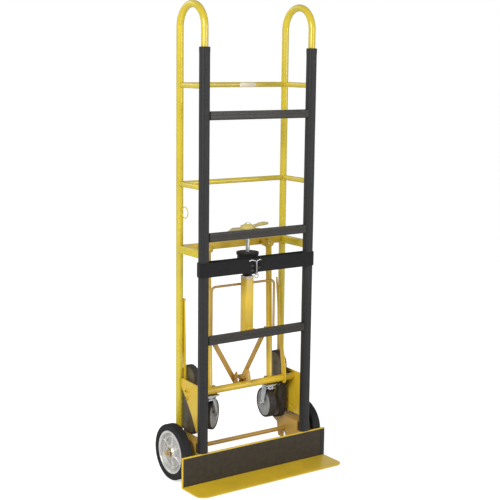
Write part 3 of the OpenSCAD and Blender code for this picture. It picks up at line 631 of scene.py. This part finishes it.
def build_main_wheel(side_name):
    """Cast hub with a raised rim, dished web and ribs, a bearing cup, and a moulded-on tyre."""
    sign = -1 if side_name == "left" else 1
    out = X * sign
    hub_lo, hub_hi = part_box(side_name + "_wheel_hub")
    centre = mid(side_name + "_tyre")
    rim_r = (hub_hi.z - hub_lo.z) / 2
    half_w = (high(side_name + "_tyre").x - low(side_name + "_tyre").x) / 2
    wheel_r = (high(side_name + "_tyre").z - low(side_name + "_tyre").z) / 2
    bore = (high("main_axle").z - low("main_axle").z) / 2 + 0.15 * MM
    rim_h = half_w - 2.5 * MM
    boss_out, boss_in = 20 * MM, 23 * MM

    faces = [(bore, -boss_in), (19 * MM, -boss_in), (20.5 * MM, -boss_in + 2 * MM), (23 * MM, -6 * MM),
             (34 * MM, -3.5 * MM), (rim_r - 16 * MM, -3.5 * MM), (rim_r - 10 * MM, -7 * MM),
             (rim_r - 8.5 * MM, -rim_h + 1.5 * MM), (rim_r - 7 * MM, -rim_h), (rim_r - 1.5 * MM, -rim_h),
             (rim_r, -rim_h + 1.5 * MM), (rim_r, rim_h - 1.5 * MM), (rim_r - 1.5 * MM, rim_h),
             (rim_r - 5 * MM, rim_h), (rim_r - 6.5 * MM, rim_h - 1.5 * MM), (rim_r - 8 * MM, 9.5 * MM),
             (rim_r - 11 * MM, 3 * MM), (rim_r - 15 * MM, 0.6 * MM), (rim_r - 18 * MM, 0.2 * MM),
             (52 * MM, 0.0), (38 * MM, 0.4 * MM), (30 * MM, 3 * MM), (26 * MM, 10 * MM),
             (23.5 * MM, boss_out - 4 * MM), (22 * MM, boss_out - 2.5 * MM), (bore, boss_out - 2.5 * MM)]
    bm = bmesh.new()
    lathe(bm, faces, centre, out, 128)
    # The dished web takes the darker grey as painted shade in its recesses; ribs, lip and boss stay bright
    # aluminium.
    piece(side_name + "_cast_web", bm, side_name + "_wheel", SHADED_WEB, (side_name + "_wheel_hub",), 38)

    bm = bmesh.new()
    lip = [(rim_r - 9.4 * MM, 8 * MM), (rim_r - 8.6 * MM, rim_h - 2 * MM),
           (rim_r - 7 * MM, rim_h + 0.3 * MM), (rim_r - 1.4 * MM, rim_h + 0.3 * MM),
           (rim_r - 0.5 * MM, rim_h - 2 * MM), (rim_r - 0.5 * MM, 8 * MM)]
    lathe(bm, lip, centre, out, 128)
    boss = [(22 * MM, 4 * MM), (28 * MM, 4 * MM), (27 * MM, 11 * MM), (24.6 * MM, boss_out - 4 * MM),
            (23 * MM, boss_out - 2.2 * MM), (22 * MM, boss_out - 2.2 * MM)]
    lathe(bm, boss, centre, out, 96)
    ring_r = rim_r - 24 * MM
    lathe(bm, [(ring_r - 2 * MM, 1 * MM), (ring_r - 1.4 * MM, 6.4 * MM), (ring_r + 1.4 * MM, 6.4 * MM),
               (ring_r + 2 * MM, 1 * MM)], centre, out, 96)
    ribs = 6
    for i in range(ribs):
        a = math.tau * (i + 0.5) / ribs
        ray = Y * math.cos(a) + Z * math.sin(a)
        across = out.cross(ray)
        rings = []
        for r, top, width in ((24 * MM, 13 * MM, 4.4 * MM), (34 * MM, 8.4 * MM, 3.6 * MM),
                              (48 * MM, 6.6 * MM, 3.2 * MM), (rim_r - 13 * MM, 8.8 * MM, 3.8 * MM)):
            base = centre + ray * r
            rings.append([base + across * w * width + out * h for w, h in (
                (-1.0, -2 * MM), (-0.9, top - 2.5 * MM), (-0.55, top - 0.6 * MM), (0, top),
                (0.55, top - 0.6 * MM), (0.9, top - 2.5 * MM), (1.0, -2 * MM))])
        skin(bm, rings)
        rings = []
        for r, top in ((24 * MM, 8 * MM), (rim_r - 9 * MM, 8 * MM)):
            base = centre + ray * r
            rings.append([base + across * w * 3.2 * MM - out * h for w, h in (
                (-1, 0), (-0.8, top - 1 * MM), (0, top), (0.8, top - 1 * MM), (1, 0))])
        skin(bm, rings)
    piece(side_name + "_cast_ribs", bm, side_name + "_wheel", ALLOY, (), 38)

    bm = bmesh.new()
    cup = [(bore, 8 * MM), (21.2 * MM, 8 * MM), (21.2 * MM, boss_out - 1.6 * MM), (20 * MM, boss_out),
           (16.5 * MM, boss_out), (15.6 * MM, boss_out - 1.2 * MM), (13 * MM, boss_out - 1.6 * MM),
           (bore, boss_out - 1.6 * MM)]
    lathe(bm, cup, centre, out, 72)
    piece(side_name + "_bearing_cup", bm, side_name + "_wheel", BRASSY)

    tread = tread_corner(wheel_r, half_w, 6.5 * MM, 8)
    groove = []
    for offset in (8 * MM, 0.0, -8 * MM):
        for step, depth in ((1.3 * MM, 0), (0.8 * MM, 0.9 * MM), (-0.8 * MM, 0.9 * MM), (-1.3 * MM, 0)):
            groove.append((wheel_r - depth, offset + step))
    wall_out = [(rim_r + 0.2 * MM, half_w - 3.5 * MM), (rim_r + 1.4 * MM, half_w - 1.4 * MM),
                (rim_r + 2.8 * MM, half_w - 1.0 * MM), (rim_r + 4.4 * MM, half_w - 1.8 * MM),
                (rim_r + 6.4 * MM, half_w - 1.5 * MM), (rim_r + 9 * MM, half_w - 0.2 * MM)]
    mirrored = [(r, -h) for r, h in reversed(wall_out + tread)]
    profile = wall_out + tread + groove + mirrored
    bm = bmesh.new()
    lathe(bm, profile, centre, out, 144)
    piece(side_name + "_moulded_tyre", bm, side_name + "_wheel", TYRE, (side_name + "_tyre",), 32)


for side_name in ("left", "right"):
    build_main_wheel(side_name)


# ---------------------------------------------------------------- stair climbers

def stadium(centre_y, top_z, low_z, radius, x, step):
    """Points at even steps round an upright loop with round ends, as (point, outward) pairs."""
    straight = top_z - low_z
    total = 2 * straight + math.tau * radius
    count = int(round(total / step))
    points = []
    for i in range(count):
        s = total * i / count
        if s < straight:
            p, out = Vector((x, centre_y + radius, low_z + s)), Y
        elif s < straight + math.pi * radius:
            a = (s - straight) / radius
            out = Vector((0, math.cos(a), math.sin(a)))
            p = Vector((x, centre_y, top_z)) + out * radius
        elif s < 2 * straight + math.pi * radius:
            p, out = Vector((x, centre_y - radius, top_z - (s - straight - math.pi * radius))), -Y
        else:
            a = math.pi + (s - 2 * straight - math.pi * radius) / radius
            out = Vector((0, math.cos(a), math.sin(a)))
            p = Vector((x, centre_y, low_z)) + out * radius
        points.append((p, out))
    return points


def build_climber_belt(side_name):
    """Endless rubber belt with cross ribs outside."""
    node = side_name + "_climber_belt"
    lo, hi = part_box(node)
    centre = (lo + hi) / 2
    radius = (hi.y - lo.y) / 2
    half = (hi.x - lo.x) / 2
    thick, rib_depth, pitch = 5.6 * MM, 1.6 * MM, 12.7 * MM
    per_rib = 8
    loop = stadium(centre.y, hi.z - radius, lo.z + radius, radius, centre.x, pitch / per_rib)
    loop = loop[:len(loop) - len(loop) % per_rib]
    rings = []
    for i, (p, out) in enumerate(loop):
        drop = 0 if i % per_rib < per_rib // 2 else rib_depth
        rings.append([p + X * x - out * d for x, d in (
            (-half, thick), (-half, drop + 1.0 * MM), (-half + 1.2 * MM, drop), (half - 1.2 * MM, drop),
            (half, drop + 1.0 * MM), (half, thick))])
    bm = bmesh.new()
    skin(bm, rings, closed_path=True)
    piece(side_name + "_ribbed_belt", bm, "chassis", CASTER_RUBBER, (node,), 30)

    bm = bmesh.new()
    plate_x = (half - 0.4 * MM) * (1 if side_name == "left" else -1)
    for end_z in (hi.z - radius, lo.z + radius):
        for direction in (1, -1):
            at = Vector((centre.x + plate_x * direction, centre.y, end_z))
            hex_bolt(bm, at - X * direction * (1 if plate_x > 0 else -1) * 0.6 * MM,
                     X * direction * (1 if plate_x > 0 else -1), 11 * MM, 1.6 * MM, 0.5 * MM)
    piece(side_name + "_climber_pin_heads", bm, "chassis", DARK_METAL)


for side_name in ("left", "right"):
    build_climber_belt(side_name)


# ---------------------------------------------------------------- strap

def uv_skin(bm, rings, lengths, widths):
    """Skins an open strip of rings and lays UVs in metres: along the strip, across it."""
    layer = bm.loops.layers.uv.new("UVMap")
    made = skin(bm, rings)
    where = {}
    for i, ring in enumerate(made):
        for k, vertex in enumerate(ring):
            where[vertex] = (lengths[i], widths[k])
    for face in bm.faces:
        for loop in face.loops:
            loop[layer].uv = where[loop.vert]


def strap_profile(width, thick, columns=14):
    """Flat woven section with thicker rounded selvedges, as (through, across) points."""
    face = []
    for i in range(columns + 1):
        t = -1 + 2 * i / columns
        edge = abs(t) ** 10
        selvedge = 1.0 if 0.80 < abs(t) < 0.96 else 0.86
        face.append((thick / 2 * selvedge * (1 - 0.75 * edge), t * width / 2))
    return face + [(-a, b) for a, b in reversed(face)]


def lay_strap(name, path, width, thick, replaces=()):
    """Webbing on edge: a path in plan, width along Z."""
    profile = strap_profile(width, thick)
    rings, lengths, run = [], [], 0.0
    for i, point in enumerate(path):
        before, after = path[max(0, i - 1)], path[min(len(path) - 1, i + 1)]
        along = (after - before).normalized()
        through = Z.cross(along).normalized()
        if i:
            run += (point - path[i - 1]).length
        lengths.append(run)
        rings.append([point + through * a + Z * b for a, b in profile])
    bm = bmesh.new()
    uv_skin(bm, rings, lengths, [b for a, b in profile])
    return piece(name, bm, "chassis", WEBBING, replaces, 50)


def sampled(points, step):
    """The same polyline with points no further apart than a step."""
    out = [points[0]]
    for a, b in zip(points, points[1:]):
        count = max(1, int((b - a).length / step))
        out += [a.lerp(b, (i + 1) / count) for i in range(count)]
    return out


STRAP_LO, STRAP_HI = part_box("left_strap")
STRAP_T = 2.6 * MM
STRAP_Z = (STRAP_LO.z + STRAP_HI.z) / 2
STRAP_W = STRAP_HI.z - STRAP_LO.z
PIN = Vector((mid("pin_ring").x, mid("strap_pin").y, STRAP_Z))


def build_strap(side_name):
    """Half the strap: hemmed end, front run, round the rail and back to the spool."""
    sign = -1 if side_name == "left" else 1
    lo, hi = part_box(side_name + "_strap")
    front_y = lo.y + STRAP_T / 2
    end_x = hi.x if side_name == "left" else lo.x
    cover_lo, cover_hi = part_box(side_name + "_rail_cover")
    rail = (cover_lo + cover_hi) / 2
    spool = mid("belt_spool")
    mid_radius = (high("belt_roll").x - low("belt_roll").x) / 2 + STRAP_T
    half_x = (cover_hi.x - cover_lo.x) / 2 + 0.6 * MM + STRAP_T / 2
    half_y = (cover_hi.y - cover_lo.y) / 2 + 0.6 * MM + STRAP_T / 2
    corner = 12 * MM + STRAP_T / 2
    front = sampled([Vector((end_x if side_name == "left" else PIN.x + 9 * MM, front_y, STRAP_Z)),
                     Vector((rail.x + sign * (half_x - corner), front_y, STRAP_Z))], 8 * MM)
    for p in front[2:-2]:
        p.y -= 0.5 * MM * noise.noise(Vector((p.x * 9, 0, sign)))
    wrap = arc(Vector((rail.x + sign * (half_x - corner), rail.y - half_y + corner, STRAP_Z)),
               corner, -90, 0, X * sign, Y, 8)
    wrap += arc(Vector((rail.x + sign * (half_x - corner), rail.y + half_y - corner, STRAP_Z)),
                corner, 0, 90, X * sign, Y, 8)
    back = sampled([Vector((rail.x - sign * 8 * MM, rail.y + half_y, STRAP_Z)),
                    Vector((spool.x + sign * 7 * MM, spool.y - mid_radius - 1 * MM, STRAP_Z))], 10 * MM)
    lay_strap(side_name + "_strap_webbing", front + wrap + back, STRAP_W, STRAP_T, (side_name + "_strap",))

    bm = bmesh.new()
    face = front_y - STRAP_T / 2
    inner = front[0].x + sign * 4 * MM
    outer = front[0].x + sign * 44 * MM
    top, base = STRAP_Z + STRAP_W / 2 - 5 * MM, STRAP_Z - STRAP_W / 2 + 5 * MM
    lines = [((inner, top), (outer, top)), ((inner, base), (outer, base)), ((inner, base), (inner, top)),
             ((outer, base), (outer, top)), ((inner, base), (outer, top)), ((inner, top), (outer, base))]
    for (x0, z0), (x1, z1) in lines:
        a, b = Vector((x0, face, z0)), Vector((x1, face, z1))
        count = int((b - a).length / (3.2 * MM))
        for i in range(count):
            p, q = a.lerp(b, (i + 0.15) / count), a.lerp(b, (i + 0.85) / count)
            sweep(bm, [p + Y * 0.2 * MM, p.lerp(q, 0.5) - Y * 0.15 * MM, q + Y * 0.2 * MM],
                  circle(0.32 * MM, 6), Z if abs(x1 - x0) > 1e-6 else X)
    piece(side_name + "_strap_stitching", bm, "chassis", THREAD)


for side_name in ("left", "right"):
    build_strap(side_name)


def build_belt_roll():
    """The strap wound on its spool, as one spiral of webbing."""
    lo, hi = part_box("belt_roll")
    centre = (lo + hi) / 2
    outer = (hi.x - lo.x) / 2 + 0.7 * MM - STRAP_T / 2
    inner = 17.0 * MM
    turns = (outer - inner) / (STRAP_T + 0.06 * MM)
    count = int(turns * 56)
    path = []
    for i in range(count + 1):
        a = math.tau * turns * i / count
        r = inner + (outer - inner) * i / count
        path.append(Vector((centre.x + r * math.cos(a), centre.y + r * math.sin(a), centre.z)))
    roll = lay_strap("wound_strap", path, hi.z - lo.z, STRAP_T * 0.9, ("belt_roll",))
    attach(roll, "spool")


build_belt_roll()


def build_strap_hardware():
    """Chrome pin with seagull wings, its ring, and the hooked clips riveted to the strap."""
    lo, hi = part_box("strap_pin")
    x, y = PIN.x, PIN.y
    top = hi.z - 6 * MM
    bm = bmesh.new()
    shaft = [Vector((x, y, lo.z + 9 * MM)), Vector((x, y, top - 8 * MM)), Vector((x, y, top))]
    sweep(bm, sampled(shaft, 5 * MM), circle(3.1 * MM, 20), Y)
    for sign, reach in ((-1, x - lo.x), (1, hi.x - x)):
        wing = ((0, -4.0), (0.16, -0.5), (0.40, 2.6), (0.66, 3.8), (0.86, 3.0), (1 - MM / reach, 0.6))
        path = [Vector((x + sign * reach * along, y, top + rise * MM)) for along, rise in wing]
        sweep(bm, path, circle(2.5 * MM, 16), Y, size=lambda i: 1.05 - 0.07 * i)
    eye = arc(Vector((x, y, lo.z + 5.5 * MM)), 4.3 * MM, 90, 440, Z, Y, 28)
    sweep(bm, eye, circle(1.1 * MM, 12), X)
    # The pin carries the chrome's painted dark reflection.
    piece("winged_strap_pin", bm, "strap_pin", SHADED_CHROME, ("strap_pin",), 50)

    lo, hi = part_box("pin_ring")
    centre = (lo + hi) / 2
    bm = bmesh.new()
    wire = 1.5 * MM
    ring = arc(centre, (hi.x - lo.x) / 2 - wire, 100, 436, X, Z, 48)
    sweep(bm, ring, circle(wire, 12), Y)
    # The ring's steel carries the painted dark reflection.
    piece("open_pin_ring", bm, "pin_ring", SHADED_STEEL, ("pin_ring",), 50)

    refined("strap_clips", BLACK, 0.3)
    bm = bmesh.new()
    face = low("left_strap").y
    for dx, dz in ((-15, -18.5), (-15, -1.5), (14, -10)):
        at = Vector((x + dx * MM, face, STRAP_Z + dz * MM))
        disc(bm, 2.4 * MM, 1.2 * MM, 2.4 * MM, at, -Y, 20, 0.5 * MM)
    piece("clip_rivets", bm, "chassis", BLACK)


build_strap_hardware()


# ---------------------------------------------------------------- carriage and casters

def build_caster_wheel(side_name):
    """Soft tread round a pressed grey disc, with a hub boss each side."""
    spin = joint(side_name + "_caster_spin")
    axis = Vector(spin["axis"]).normalized()
    centre = Vector(spin["pos_m"])
    lo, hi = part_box(side_name + "_caster_wheel")
    radius = (hi.z - lo.z) / 2
    half_w = 15 * MM
    disc_r = radius - 7.5 * MM
    tread = tread_corner(radius, half_w, 5 * MM, 7)
    wall = [(disc_r - 1 * MM, half_w - 4 * MM), (disc_r + 0.6 * MM, half_w - 2.2 * MM),
            (disc_r + 2.2 * MM, half_w - 0.8 * MM)]
    ring = wall + tread + [(r, -h) for r, h in reversed(wall + tread)]
    bm = bmesh.new()
    lathe(bm, ring, centre, axis, 96)
    piece(side_name + "_caster_tread", bm, side_name + "_caster", CASTER_RUBBER,
          (side_name + "_caster_wheel",), 32)
    face = [(4.2 * MM, 16.4 * MM), (9 * MM, 16.4 * MM), (10.5 * MM, 15 * MM), (12 * MM, 11.5 * MM),
            (16 * MM, 10.4 * MM), (disc_r * 0.62, 10.8 * MM), (disc_r * 0.68, 12.2 * MM),
            (disc_r * 0.76, 12.2 * MM), (disc_r * 0.82, 10.8 * MM), (disc_r - 3.5 * MM, 11.2 * MM),
            (disc_r - 1.8 * MM, 13.2 * MM), (disc_r, 13.0 * MM), (disc_r, 10.4 * MM)]
    plate = face + [(r, -h) for r, h in reversed(face)]
    bm = bmesh.new()
    lathe(bm, plate, centre, axis, 96)
    side, rise = frame_at(axis, Z)
    for i in range(5):
        a = math.tau * i / 5
        spot = centre + (side * math.cos(a) + rise * math.sin(a)) * disc_r * 0.42
        for direction in (1, -1):
            disc(bm, 2.6 * MM, 10.0 * MM, 12.0 * MM, spot, axis * direction, 16, 0.6 * MM)
    piece(side_name + "_caster_disc", bm, side_name + "_caster", GREY_METAL)


for side_name in ("left", "right"):
    build_caster_wheel(side_name)


def build_grab_bail():
    """Bent rod across the legs, with hooked lower ends."""
    lo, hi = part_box("grab_bail")
    r = 4.5 * MM
    y = lo.y + r
    bend = 16 * MM
    left, right = lo.x + r, hi.x - r
    top, base = hi.z - r, lo.z + r
    path = [Vector((left, y + 11 * MM, base)), Vector((left, y + 6 * MM, base))]
    path += arc(Vector((left, y + 6 * MM, base + 6 * MM)), 6 * MM, -90, -180, Y, Z, 8)
    path += sampled([Vector((left, y, base + 8 * MM)), Vector((left, y, top - bend - 1 * MM))], 20 * MM)
    path += arc(Vector((left + bend, y, top - bend)), bend, 180, 90, X, Z, 10)
    path += sampled([Vector((left + bend + 1 * MM, y, top)),
                     Vector((right - bend - 1 * MM, y, top))], 20 * MM)
    path += arc(Vector((right - bend, y, top - bend)), bend, 90, 0, X, Z, 10)
    path += sampled([Vector((right, y, top - bend - 1 * MM)), Vector((right, y, base + 8 * MM))], 20 * MM)
    path += arc(Vector((right, y + 6 * MM, base + 6 * MM)), 6 * MM, 180, 270, Y, Z, 8)
    path += [Vector((right, y + 11 * MM, base))]
    path = [p for i, p in enumerate(path) if i == 0 or (p - path[i - 1]).length > 0.3 * MM]
    rings = []
    side = frame_at((path[1] - path[0]).normalized(), X)[0]
    for i, point in enumerate(path):
        along = (path[min(i + 1, len(path) - 1)] - path[max(i - 1, 0)]).normalized()
        side = (side - along * side.dot(along)).normalized()
        other = along.cross(side)
        rings.append([point + side * a + other * b for a, b in circle(r, 16)])
    bm = bmesh.new()
    skin(bm, rings)
    piece("bent_grab_bail", bm, "carriage", GOLD, ("grab_bail",), 50)


build_grab_bail()


def build_wire_keeper():
    """Wire eye on the left upright, with its ends bent in and welded."""
    lo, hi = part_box("wire_keeper")
    centre = (lo + hi) / 2
    radius = (hi.z - lo.z) / 2 - 1.8 * MM
    bm = bmesh.new()
    sweep(bm, arc(centre, radius, 8, 352, Y, Z, 56), circle(1.8 * MM, 12), X)
    piece("wire_eye", bm, "chassis", YELLOW, ("wire_keeper",), 50)


build_wire_keeper()


# ---------------------------------------------------------------- welds and fixings

def build_welds():
    """Weld metal where the painted bars meet."""
    bm = bmesh.new()
    bar_r = (high("upper_rear_crossbar").z - low("upper_rear_crossbar").z) / 2
    for node in ("upper_rear_crossbar", "middle_rear_crossbar"):
        z = mid(node).z
        for sign in (-1, 1):
            weld_ring(bm, Vector((sign * (HALF_W - TUBE_R + 0.4 * MM), UPRIGHT_Y, z)), X, bar_r - 0.6 * MM)
            weld_ring(bm, Vector((sign * HALF_W, UPRIGHT_Y - TUBE_R + 0.4 * MM, z)), Y, bar_r - 0.6 * MM)
    beam_lo, beam_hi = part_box("lower_rear_crossbar")
    for sign in (-1, 1):
        x = sign * (HALF_W - TUBE_R + 0.6 * MM)
        for z in (beam_lo.z, beam_hi.z):
            weld_line(bm, Vector((x, beam_lo.y + 3 * MM, z)), Vector((x, beam_hi.y - 3 * MM, z)), 1.6 * MM)
    seat_y = low("toe_plate_pad").y + 3.6 * MM
    seat_z = high("toe_plate").z - 0.4 * MM
    for sign in (-1, 1):
        weld_line(bm, Vector((sign * HALF_W - 15 * MM, seat_y, seat_z)),
                  Vector((sign * HALF_W + 15 * MM, seat_y, seat_z)), 1.3 * MM)
    piece("frame_welds", bm, "chassis", YELLOW, (), 60)

    bm = bmesh.new()
    corner = low("carriage_frame")
    for sign in (-1, 1):
        top = Vector((sign * CARRIAGE_LEG_X, corner.y + TUBE_R, corner.z + 2 * TUBE_R - 1.2 * MM))
        weld_ring(bm, top, Z, 10.6 * MM, 2.0 * MM)
    piece("carriage_welds", bm, "carriage", YELLOW, (), 60)


build_welds()


def build_fixings():
    """Bolt heads on the gussets, rivets on the label plate, and the post's cap."""
    bm = bmesh.new()
    gusset_x = high("gusset_plates").x + 0.1 * MM
    for sign in (-1, 1):
        for z in CLIMBER_BOLT_Z:
            hex_bolt(bm, Vector((sign * gusset_x, CLIMBER_BOLT_Y, z)), X * sign, 13 * MM, 6 * MM, 1.2 * MM)
    piece("gusset_bolts", bm, "chassis", AMBER)

    bm = bmesh.new()
    lo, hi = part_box("label_plate")
    for x in (lo.x + 4 * MM, hi.x - 4 * MM):
        disc(bm, 1.5 * MM, 0.0, 0.8 * MM, Vector((x, lo.y, mid("label_plate").z)), -Y, 16, 0.35 * MM)
    piece("label_rivets", bm, "chassis", ZINC)

    bm = bmesh.new()
    lo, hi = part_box("centre_post")
    spool = mid("belt_spool")
    half = (hi.x - lo.x) / 2 + 0.6 * MM
    outline = rounded_rect(2 * half, 2 * half, 5.5 * MM, 5)
    inner = rounded_rect(2 * half - 5 * MM, 2 * half - 5 * MM, 3.5 * MM, 5)
    base = hi.z - 9 * MM
    rings = [[Vector((x, spool.y + y, z)) for x, y in shape]
             for shape, z in ((inner, base), (outline, base), (outline, hi.z), (inner, hi.z))]
    skin(bm, rings, closed_path=True)
    piece("post_collar", bm, "chassis", CREAM, (), 30)


build_fixings()


# ---------------------------------------------------------------- stage, light and camera

def build_stage():
    floor_z = -0.4 * MM
    bm = bmesh.new()
    size = 40.0
    corners = [bm.verts.new((x * size, y * size, floor_z)) for x, y in ((-1, -1), (1, -1), (1, 1), (-1, 1))]
    bm.faces.new(corners)
    mesh = bpy.data.meshes.new("floor")
    bm.to_mesh(mesh)
    bm.free()
    floor = bpy.data.objects.new("floor", mesh)
    scene.collection.objects.link(floor)
    n = Nodes("pale_floor")
    seen = n.add("ShaderNodeLightPath").outputs["Is Camera Ray"]
    tone = n.scaled(n.noise(1.5, 3), 0.0, 1.0)
    n.surface(Base_Color=n.blend(tone, (0.80, 0.80, 0.80), (0.84, 0.84, 0.84)), Roughness=0.9,
              Emission_Color=(1, 1, 1, 1), Emission_Strength=n.scaled(seen, 0.05, 0.62, 0.0, 1.0))
    mesh.materials.append(n.material)

    world = bpy.data.worlds.new("studio")
    world.use_nodes = True
    tree = world.node_tree
    seen = tree.nodes.new("ShaderNodeLightPath").outputs["Is Camera Ray"]
    strength = tree.nodes.new("ShaderNodeMapRange")
    strength.inputs["To Min"].default_value = 0.46
    tree.links.new(seen, strength.inputs["Value"])
    tree.nodes["Background"].inputs["Color"].default_value = (1, 1, 1, 1)
    tree.links.new(strength.outputs["Result"], tree.nodes["Background"].inputs["Strength"])
    scene.world = world

    for name, place, size, power, target in (
            ("key", (-3.4, -1.8, 2.4), 1.5, 104, (0, 0, 0.8)),
            ("fill", (1.8, -3.6, 1.5), 1.6, 44, (0, 0, 0.8)),
            ("rim", (-1.5, 3.2, 3.0), 2.0, 16, (0, 0, 0.9))):
        light = bpy.data.lights.new(name, "AREA")
        light.size = size
        light.energy = power
        lamp = bpy.data.objects.new(name, light)
        lamp.location = place
        lamp.rotation_euler = (Vector(target) - Vector(place)).to_track_quat("-Z", "Y").to_euler()
        scene.collection.objects.link(lamp)
    scene.view_settings.view_transform = "Standard"


def build_camera():
    """Camera at the height, distance and angle that the object is usually shown from."""
    place = Vector((-2.3728, -3.2858, 1.512))
    yaw, pitch, roll = 0.6173, -0.1673, 0.0122
    ahead = Vector((math.sin(yaw) * math.cos(pitch), math.cos(yaw) * math.cos(pitch), math.sin(pitch)))
    right = ahead.cross(Z).normalized()
    up = right.cross(ahead)
    right, up = right * math.cos(roll) + up * math.sin(roll), up * math.cos(roll) - right * math.sin(roll)
    data = bpy.data.cameras.new("camera")
    data.sensor_width = 36.0
    data.lens = 83.03
    camera = bpy.data.objects.new("camera", data)
    camera.matrix_world = Matrix.Translation(place) @ Matrix((right, up, -ahead)).transposed().to_4x4()
    scene.collection.objects.link(camera)
    scene.camera = camera


build_stage()
build_camera()
